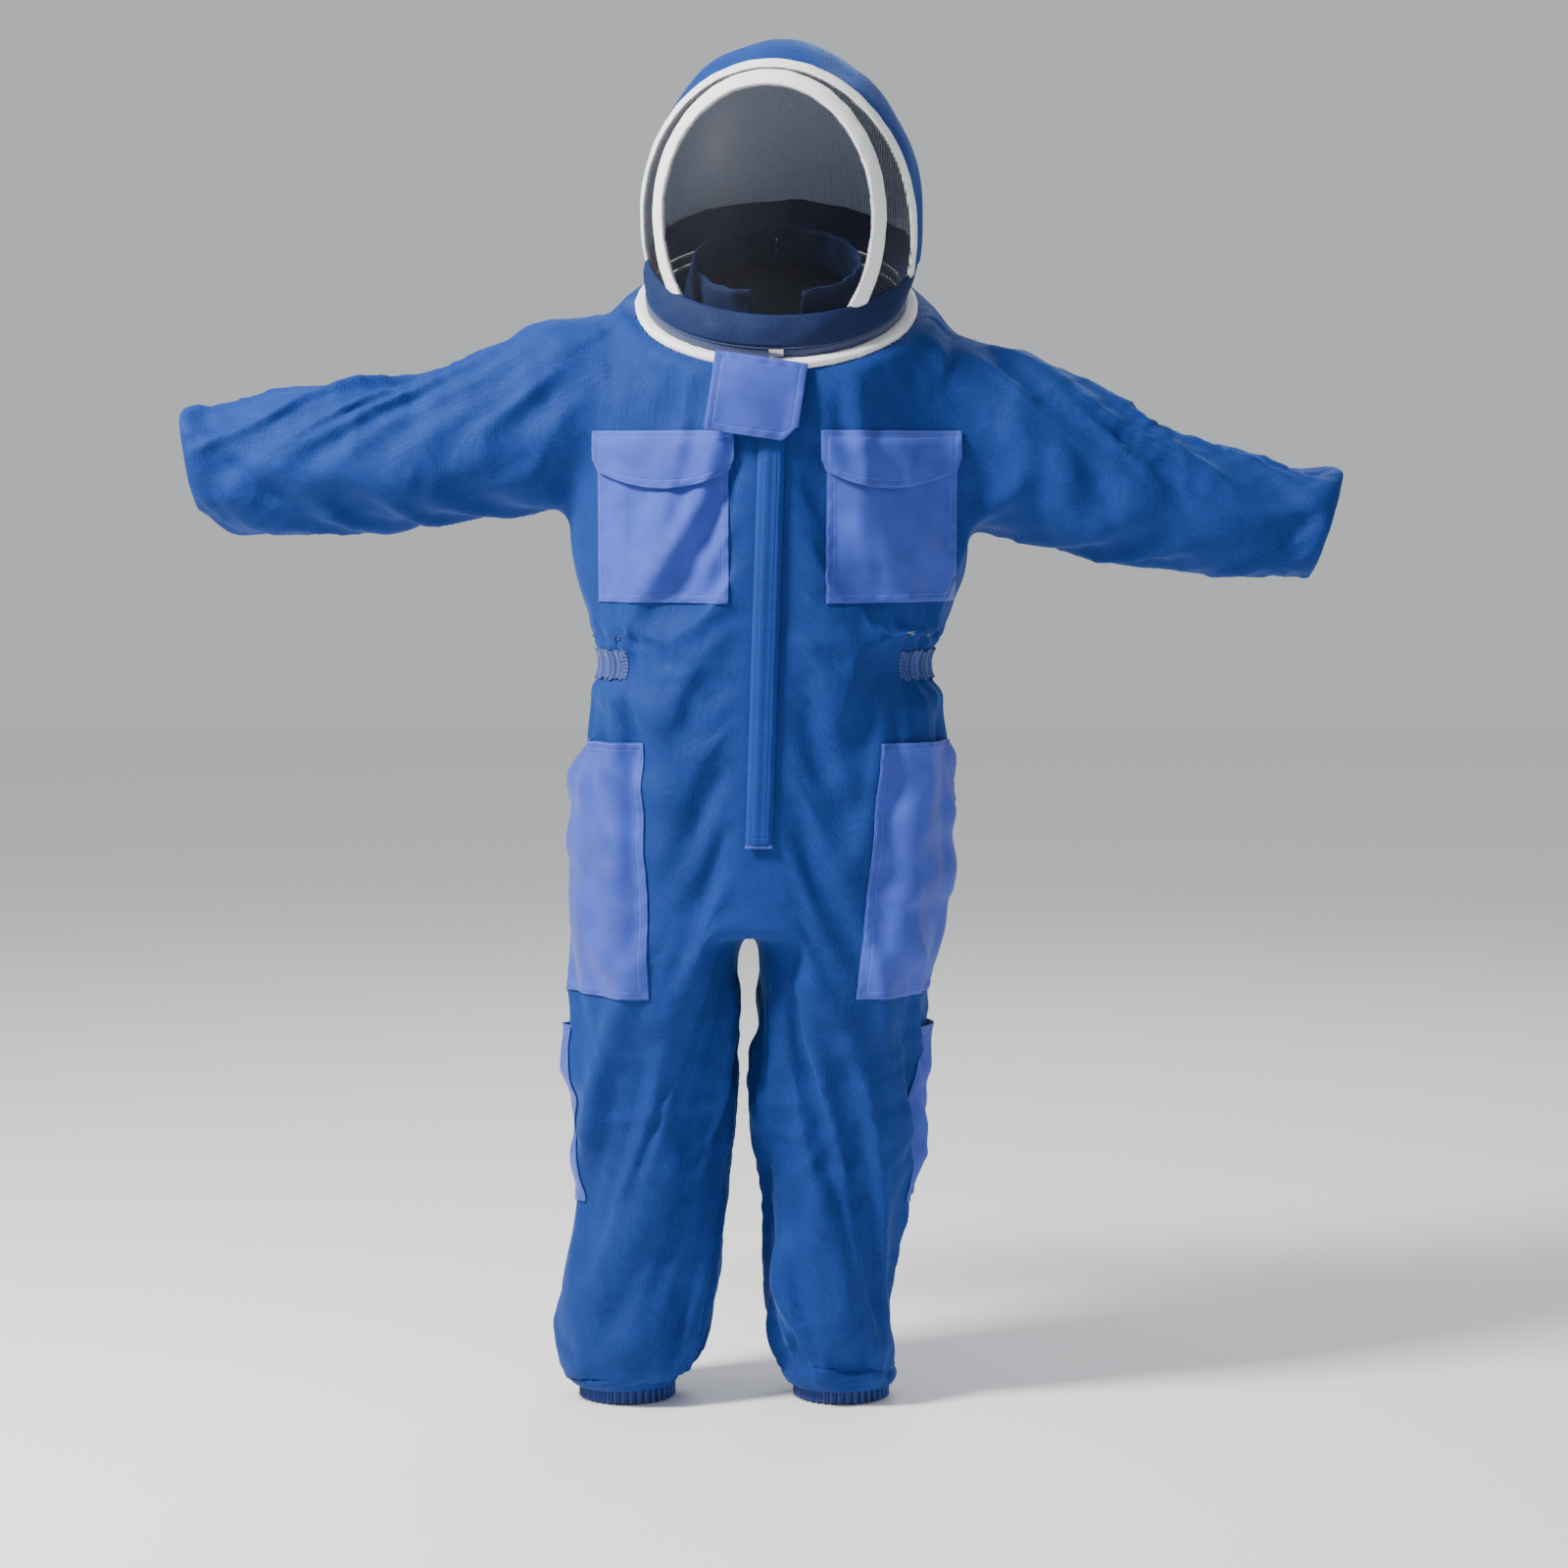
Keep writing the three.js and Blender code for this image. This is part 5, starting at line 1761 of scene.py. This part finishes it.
@dataclass
class Elastics:
    """The gathered bands at the waist, wrists and ankles."""

    band: bpy.types.Material
    coverall: Coverall

    def waist(self, surface: BVHTree, side: Side) -> None:
        """Makes the band over one side of the waist.

        Args:
            surface: the skin.
            side: the wearer's side.
        """
        low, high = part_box(f"waist_elastic_{side.word}")
        centre = Vector((self.coverall.centre(low.z), -0.012, 0))

        def ray(u: float, v: float) -> tuple[Vector, Vector]:
            """Rays from around the waist's line."""
            turn = side.value * (61 + 66 * u) * RADIAN
            aim = Vector((-math.sin(turn), math.cos(turn), 0))
            z = low.z + (high.z - low.z) * v + 0.0015 * math.sin(u * 90)
            return Vector((centre.x, centre.y, z)) - aim * 0.4, aim

        def lift(u: float, v: float) -> float:
            """Even ribs, fading into the cloth at both ends."""
            fade = smoothstep(min(u, 1 - u), 0.0, 0.08)
            return 0.0012 + fade * (0.0022 + 0.0015 * math.sin(u * 2 * math.pi * 26))

        band = Patch(f"waist_band_{side.word}", ray, 0.24, high.z - low.z, lift, pitch=0.0022, relax=5).build(
            surface, self.band
        )
        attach(band, "trunk")
        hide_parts(f"waist_elastic_{side.word}")

    def tube(
        self, name: str, matrix: Matrix, length: float, radii: Callable[[float, float], tuple[float, float]], segments: int
    ) -> bpy.types.Object:
        """Makes a gathered tube.

        Args:
            name: the piece's name.
            matrix: its place, +Z along it.
            length: its length.
            radii: its two half widths at each share along and angle.
            segments: its segments round.

        Returns:
            The piece.
        """
        bm = bmesh.new()
        bmesh.ops.create_cone(bm, cap_ends=False, segments=segments, radius1=1, radius2=1, depth=1)
        rungs = [e for e in bm.edges if abs(e.verts[0].co.z - e.verts[1].co.z) > 0.5]
        bmesh.ops.subdivide_edges(bm, edges=rungs, cuts=11)
        run = bm.loops.layers.uv.new("edge")
        for face in bm.faces:
            middle = face.calc_center_median()
            home = math.atan2(middle.y, middle.x)
            for corner in face.loops:
                turn = math.atan2(corner.vert.co.y, corner.vert.co.x)
                turn += 2 * math.pi * round((home - turn) / (2 * math.pi))
                corner[run].uv = (turn * 0.055, corner.vert.co.z * length)
        for vert in bm.verts:
            share = vert.co.z + 0.5
            turn = math.atan2(vert.co.y, vert.co.x)
            wide, deep = radii(share, turn)
            vert.co = Vector((wide * math.cos(turn), deep * math.sin(turn), share * length))
        bmesh.ops.recalc_face_normals(bm, faces=bm.faces)
        bmesh.ops.transform(bm, verts=bm.verts, matrix=matrix)
        piece = finish_mesh(name, bm, self.band)
        thicken(piece, 0.002, -1.0)
        return piece

    def wrist(self, side: Side) -> None:
        """Makes the elastic cuff inside a sleeve's end.

        Args:
            side: the wearer's side.
        """
        arm = ARMS[side]
        length = 0.036
        start = arm.at(arm.length - 0.038)
        depth = arm.out.cross(arm.up)
        matrix = Matrix.Translation(start) @ Matrix((arm.up, depth, arm.out)).transposed().to_4x4()

        def radii(share: float, turn: float) -> tuple[float, float]:
            """Wide where it is sewn inside the sleeve, drawn in at the wrist."""
            drawn = smoothstep(share, 0.0, 0.6)
            ripple = 0.0022 * math.sin(turn * 34) * drawn
            return 0.058 - 0.014 * drawn + ripple, 0.048 - 0.010 * drawn + ripple

        cuff = self.tube(f"wrist_elastic_{side.word}", matrix, length, radii, 272)
        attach(cuff, f"forearm_{side.word}")
        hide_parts(f"wrist_cuff_{side.word}")

    def ankle(self, side: Side) -> None:
        """Makes the elastic band a leg's cloth blouses over.

        Args:
            side: the wearer's side.
        """
        low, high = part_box(f"ankle_cuff_{side.word}")
        middle = (low + high) / 2
        x = {Side.RIGHT: -0.176, Side.LEFT: 0.093}[side]
        matrix = Matrix.Translation((x, middle.y * 0.2, low.z))

        def radii(share: float, turn: float) -> tuple[float, float]:
            """Drawn in below, opening to meet the leg's cloth above."""
            open_out = smoothstep(share, 0.45, 0.95)
            ripple = 0.0026 * math.sin(turn * 38) * (1 - 0.7 * open_out)
            return 0.058 + 0.009 * open_out + ripple, 0.060 + 0.009 * open_out + ripple

        cuff = self.tube(f"ankle_elastic_{side.word}", matrix, 0.040, radii, 304)
        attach(cuff, f"shin_{side.word}")
        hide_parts(f"ankle_cuff_{side.word}")

    def build(self, surface: BVHTree) -> None:
        """Makes every band.

        Args:
            surface: the skin.
        """
        for side in Side:
            self.waist(surface, side)
            self.wrist(side)
            self.ankle(side)


# ------------------------------------------------------------------ hood


@dataclass(frozen=True)
class Hoop:
    """A bound hoop's plane: its place on the hood's axis, lean and width."""

    y: float
    lean: float
    width: float

    @property
    def point(self) -> Vector:
        """A point on its plane."""
        return Vector((0, self.y, 0))

    @property
    def normal(self) -> Vector:
        """Its plane's normal, to the back."""
        return Vector((0, math.cos(self.lean), -math.sin(self.lean)))


@dataclass
class Hood:
    """The round hood: crown cloth, two bound hoops, side and face veil, and the yoke down to the neck zip."""

    crown: bpy.types.Material
    # The inner finish, painted pale as light inside the hood as well as the cloth's own grey-blue.
    lining: bpy.types.Material
    veil: bpy.types.Material
    side_veil: bpy.types.Material
    white: bpy.types.Material
    navy: bpy.types.Material
    side: float = 0.171
    front: float = 0.186
    back: float = 0.160
    up: float = 0.208
    down: float = 0.228
    centre: Vector = Vector((0.0195, 0.0, 0.117))
    yaw: float = 9 * RADIAN
    base: float = 0.0222
    rise: float = 0.034
    face: Hoop = Hoop(-0.115, -4 * RADIAN, 0.019)
    crest: Hoop = Hoop(-0.045, -20 * RADIAN, 0.016)

    @property
    def frame(self) -> Matrix:
        """The hood's own frame."""
        return Matrix.Translation(self.centre) @ Matrix.Rotation(-self.yaw, 4, "Z")

    def dome(self, segments: int = 128, rings: int = 96, slack: float = 0.0) -> bmesh.types.BMesh:
        """Makes the whole dome in the hood's own frame, with flat coordinates in metres.

        Args:
            segments: its segments round.
            rings: its rings.
            slack: how unevenly its cloth lies.

        Returns:
            The mesh.
        """
        bm = bmesh.new()
        bmesh.ops.create_uvsphere(bm, u_segments=segments, v_segments=rings, radius=1)
        bmesh.ops.rotate(bm, verts=bm.verts, cent=(0, 0, 0), matrix=Matrix.Rotation(90 * RADIAN, 3, "X"))
        flat = bm.loops.layers.uv.new("flat")
        edge = bm.loops.layers.uv.new("edge")
        for vert in bm.verts:
            co = vert.co
            way = co.copy()
            vert.co = Vector(
                (co.x * self.side, co.y * (self.front if co.y < 0 else self.back), co.z * (self.up if co.z > 0 else self.down))
            )
            if slack:
                vert.co += way * slack * noise.noise(Vector((way.x * 3.1, way.y * 3.1 + 7, way.z * 2.4)))
        for face in bm.faces:
            for corner in face.loops:
                co = corner.vert.co
                corner[flat].uv = (co.x, co.z + 0.35 * co.y)
                corner[edge].uv = (co.x, co.z)
        return bm

    def above(self, bm: bmesh.types.BMesh, rise: float) -> None:
        """Clears a mesh in the hood's frame below a height over the neck ring.

        Args:
            bm: the mesh.
            rise: the height.
        """
        inverse = self.frame.inverted()
        point = inverse @ (RING.centre + RING.axis * rise)
        cut(bm, point, inverse.to_3x3() @ RING.axis, before=True)

    def place(self, name: str, bm: bmesh.types.BMesh, thickness: float, *materials: bpy.types.Material) -> bpy.types.Object:
        """Brings a mesh from the hood's frame into place and thickens it.

        Args:
            name: the piece's name.
            bm: the mesh.
            thickness: its wall.
            materials: its outer and inner finish.

        Returns:
            The piece.
        """
        bmesh.ops.recalc_face_normals(bm, faces=bm.faces)
        bm.normal_update()
        if sum(f.normal.dot(f.calc_center_median()) for f in bm.faces) < 0:
            bmesh.ops.reverse_faces(bm, faces=bm.faces)
        bmesh.ops.transform(bm, verts=bm.verts, matrix=self.frame)
        piece = finish_mesh(name, bm, *materials)
        if thickness:
            thicken(piece, thickness, -1.0, len(materials) - 1)
        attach(piece, "hood")
        return piece

    def band(self, name: str, hoop: Hoop, node: str) -> None:
        """Makes a hoop's binding as a padded band that follows the dome.

        Args:
            name: the piece's name.
            hoop: its plane.
            node: the frame's node it stands for.
        """
        bm = self.dome(192, 128)
        half = hoop.width / 2
        cut(bm, hoop.point + hoop.normal * half, hoop.normal, beyond=True)
        cut(bm, hoop.point - hoop.normal * half, hoop.normal, before=True)
        for share in (-0.85, -0.6, -0.3, 0.0, 0.3, 0.6, 0.85):
            cut(bm, hoop.point + hoop.normal * (half * share), hoop.normal)
        self.above(bm, self.base + self.rise - 0.003)
        edge = bm.loops.layers.uv["edge"]
        for face in bm.faces:
            middle = face.calc_center_median()
            home = math.atan2(middle.x, middle.z)
            for corner in face.loops:
                co = corner.vert.co
                turn = math.atan2(co.x, co.z)
                turn += 2 * math.pi * round((home - turn) / (2 * math.pi))
                corner[edge].uv = (turn * 0.17, (co - hoop.point).dot(hoop.normal) + half)
        for vert in bm.verts:
            across = (vert.co - hoop.point).dot(hoop.normal) / half
            out = Vector((vert.co.x, 0, vert.co.z)).normalized()
            turn = math.atan2(vert.co.x, vert.co.z)
            wave = noise.noise(Vector((turn * 9, across, hoop.y * 50)))
            vert.co += out * (0.0012 + 0.0030 * math.sqrt(max(0.0, 1 - across * across)) + 0.0009 * wave)
        piece = self.place(name, bm, 0.0062, self.white)
        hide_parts(node)

    def between(self, first: Hoop | None, last: Hoop | None, bm: bmesh.types.BMesh) -> None:
        """Keeps the part of the dome behind one hoop and before another.

        Args:
            first: the hoop in front, if any.
            last: the hoop behind, if any.
            bm: the dome.
        """
        if first:
            cut(bm, first.point + first.normal * (first.width * 0.36), first.normal, before=True)
        if last:
            cut(bm, last.point - last.normal * (last.width * 0.36), last.normal, beyond=True)
        self.above(bm, self.base + self.rise - 0.002)

    def yoke(self) -> None:
        """Makes the cloth between the neck zip and the dome, coloured dark navy as painted shade."""
        bm = self.dome(96, 64)
        point = self.frame.inverted()
        surface = BVHTree.FromBMesh(bm)
        bm.free()
        yoke = bmesh.new()
        bmesh.ops.create_cone(yoke, cap_ends=False, segments=192, radius1=1, radius2=1, depth=1)
        rungs = [e for e in yoke.edges if abs(e.verts[0].co.z - e.verts[1].co.z) > 0.5]
        bmesh.ops.subdivide_edges(yoke, edges=rungs, cuts=9)
        run = yoke.loops.layers.uv.new("edge")
        for face in yoke.faces:
            middle = face.calc_center_median()
            home = math.atan2(middle.x, -middle.y)
            for corner in face.loops:
                co = corner.vert.co
                turn = math.atan2(co.x, -co.y)
                turn += 2 * math.pi * round((home - turn) / (2 * math.pi))
                corner[run].uv = (turn * RING.radius, (co.z + 0.5) * self.rise)
        for vert in yoke.verts:
            turn = math.atan2(vert.co.x, -vert.co.y)
            share = vert.co.z + 0.5
            lift = self.base + self.rise * share
            start = RING.point(turn, -RING.radius, self.base + self.rise)
            aim = (RING.point(turn, 0, self.base + self.rise) - start).normalized()
            hit = surface.ray_cast(point @ start, (point.to_3x3() @ aim))
            reach = hit[3] + 0.0012 if hit[0] is not None else RING.radius
            out = (RING.radius - 0.0052) * (1 - share) + reach * share
            fold = noise.noise(Vector((math.sin(turn) * 4.5, math.cos(turn) * 4.5, share * 1.4)))
            bulge = 0.004 * math.sin(math.pi * share) + 0.0045 * fold * math.sin(math.pi * share)
            vert.co = RING.point(turn, out + bulge - RING.radius, lift)
        bmesh.ops.recalc_face_normals(yoke, faces=yoke.faces)
        piece = finish_mesh("hood_yoke_cloth", yoke, self.navy)
        thicken(piece, 0.0025, -1.0)
        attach(piece, "hood")
        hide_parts("hood_yoke")

    def build(self) -> None:
        """Makes the hood."""
        bm = self.dome(160, 120, 0.006)
        self.between(self.crest, None, bm)
        crown = self.place("hood_crown_cloth", bm, 0.0032, self.crown, self.lining)
        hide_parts("hood_crown")
        bm = self.dome(128, 96)
        self.between(self.face, self.crest, bm)
        sides = self.place("side_veil_net", bm, 0.0, self.side_veil)
        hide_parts("side_veil")
        bm = self.dome(128, 96)
        self.between(None, self.face, bm)
        veil = self.place("face_veil_net", bm, 0.0, self.veil)
        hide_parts("face_veil")
        self.band("face_hoop_binding", self.face, "face_hoop")
        self.band("crown_hoop_binding", self.crest, "crown_hoop")
        self.yoke()


# ------------------------------------------------------------------ stage


@dataclass
class Studio:
    """The floor, the lights and the camera."""

    distance: float = 5.0
    eye: float = -0.22
    target: Vector = Vector((0.021, 0.0, -0.589))
    span: float = 1.952

    def camera(self) -> None:
        """Places the camera in front, level with the chest."""
        data = bpy.data.cameras.new("camera")
        place = Vector((self.target.x, -self.distance, self.eye))
        aim = self.target - place
        data.sensor_width = 36
        data.lens = 36 / (self.span / aim.length)
        data.clip_end = 60
        obj = bpy.data.objects.new("camera", data)
        obj.location = place
        obj.rotation_euler = aim.to_track_quat("-Z", "Y").to_euler()
        bpy.context.scene.collection.objects.link(obj)
        bpy.context.scene.camera = obj

    def light(self, name: str, place: Vector, size: float, power: float, tint: tuple[float, float, float]) -> None:
        """Adds a soft light that faces the suit.

        Args:
            name: its name.
            place: where it stands.
            size: its size.
            power: its power.
            tint: its colour.
        """
        data = bpy.data.lights.new(name, "AREA")
        data.size = size
        data.energy = power
        data.color = tint
        obj = bpy.data.objects.new(name, data)
        obj.location = place
        obj.rotation_euler = (self.target + Vector((0, 0, 0.25)) - place).to_track_quat("-Z", "Y").to_euler()
        bpy.context.scene.collection.objects.link(obj)

    def build(self) -> None:
        """Sets the stage."""
        self.camera()
        bm = bmesh.new()
        bmesh.ops.create_grid(bm, x_segments=2, y_segments=2, size=14)
        bmesh.ops.translate(bm, verts=bm.verts, vec=(0, 0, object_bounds()[0].z - 0.002))
        floor = Dressed("floor")
        floor.set("Base Color", (0.93, 0.93, 0.94, 1))
        floor.set("Roughness", 0.85)
        finish_mesh("floor", bm, floor.material)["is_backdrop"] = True
        world = bpy.data.worlds.new("studio")
        bpy.context.scene.world = world
        world.use_nodes = True
        world.node_tree.nodes["Background"].inputs["Color"].default_value = (0.96, 0.98, 1.0, 1)
        world.node_tree.nodes["Background"].inputs["Strength"].default_value = 0.55
        self.light("key", Vector((-2.1, -1.3, 1.7)), 0.7, 260, (1.0, 0.97, 0.93))
        self.light("fill", Vector((3.0, -2.6, 0.9)), 2.2, 12, (0.92, 0.96, 1.0))
        self.light("rim", Vector((0.8, 3.2, 2.4)), 2.0, 60, (0.95, 0.97, 1.0))


# ------------------------------------------------------------------ assembly


def main() -> None:
    """Builds the suit piece by piece."""
    logging.basicConfig(level=logging.INFO, format="%(name)s: %(message)s")
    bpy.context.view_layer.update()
    Studio().build()
    Groups.build()
    blue = SpacerMesh("air_mesh_blue", (0.009, 0.046, 0.25, 1), (0.0010, 0.007, 0.060, 1)).build()
    lining = SpacerMesh("air_mesh_lining", (0.16, 0.20, 0.30, 1), (0.08, 0.11, 0.19, 1), sheen=0.1).build()
    # The hood's inner cloth is partly its own grey-blue and partly painted light: made pale to stand in for the lit
    # inside seen through the veil.
    lit_pale_lining = SpacerMesh("hood_lining", (0.50, 0.56, 0.68, 1), (0.30, 0.35, 0.46, 1), sheen=0.1).build()
    # Painted shade: a dark navy copy of the suit's blue for the collar, neck facing and hood yoke, which lie in shade
    # at the neck.
    navy = SpacerMesh("navy_cloth", (0.010, 0.022, 0.085, 1), (0.004, 0.008, 0.035, 1), sheen=0.15).build()
    flap = SpacerMesh("air_mesh_flap", (0.010, 0.050, 0.27, 1), (0.0012, 0.008, 0.065, 1), stitched=True).build()
    poplin = Poplin("poplin_blue", (0.034, 0.074, 0.46, 1), (0.012, 0.026, 0.20, 1), (0.070, 0.13, 0.60, 1)).build()
    white = Poplin("white_binding", (0.90, 0.90, 0.90, 1), (0.74, 0.75, 0.78, 1), (0.82, 0.82, 0.82, 1), near=0.0022, far=0.0022).build()
    elastic = Rib("elastic_blue", (0.011, 0.055, 0.31, 1), (0.0015, 0.010, 0.085, 1)).build()
    coil = Rib("coil_navy", (0.012, 0.035, 0.17, 1), (0.004, 0.010, 0.05, 1), ribs=600.0, depth=0.0006, roughness=0.4).build()
    hooks = Rib("hook_tape_blue", (0.02, 0.05, 0.28, 1), (0.008, 0.02, 0.12, 1), ribs=700.0, depth=0.0008, roughness=0.95).build()
    net = VeilNet("veil_net", (0.010, 0.011, 0.014, 1)).build()
    dense = VeilNet("side_veil_net", (0.010, 0.011, 0.014, 1), thread=0.34).build()
    metal = Metal("zip_metal", (0.72, 0.72, 0.74, 1)).build()
    coverall = Coverall(blue, lining)
    surface = coverall.build()
    coverall.attach()
    for piece in coverall.pieces.values():
        LOG.info("%s: %d faces", piece.name, len(piece.data.polygons))
    Pockets(poplin, hooks, coverall).build(surface)
    FrontZip(flap, poplin, coil, metal, coverall).build(surface)
    Neckline(white, coil, navy, poplin).build()
    Elastics(elastic, coverall).build(surface)
    Hood(blue, lit_pale_lining, net, dense, white, navy).build()


if __name__ == "__main__":
    main()
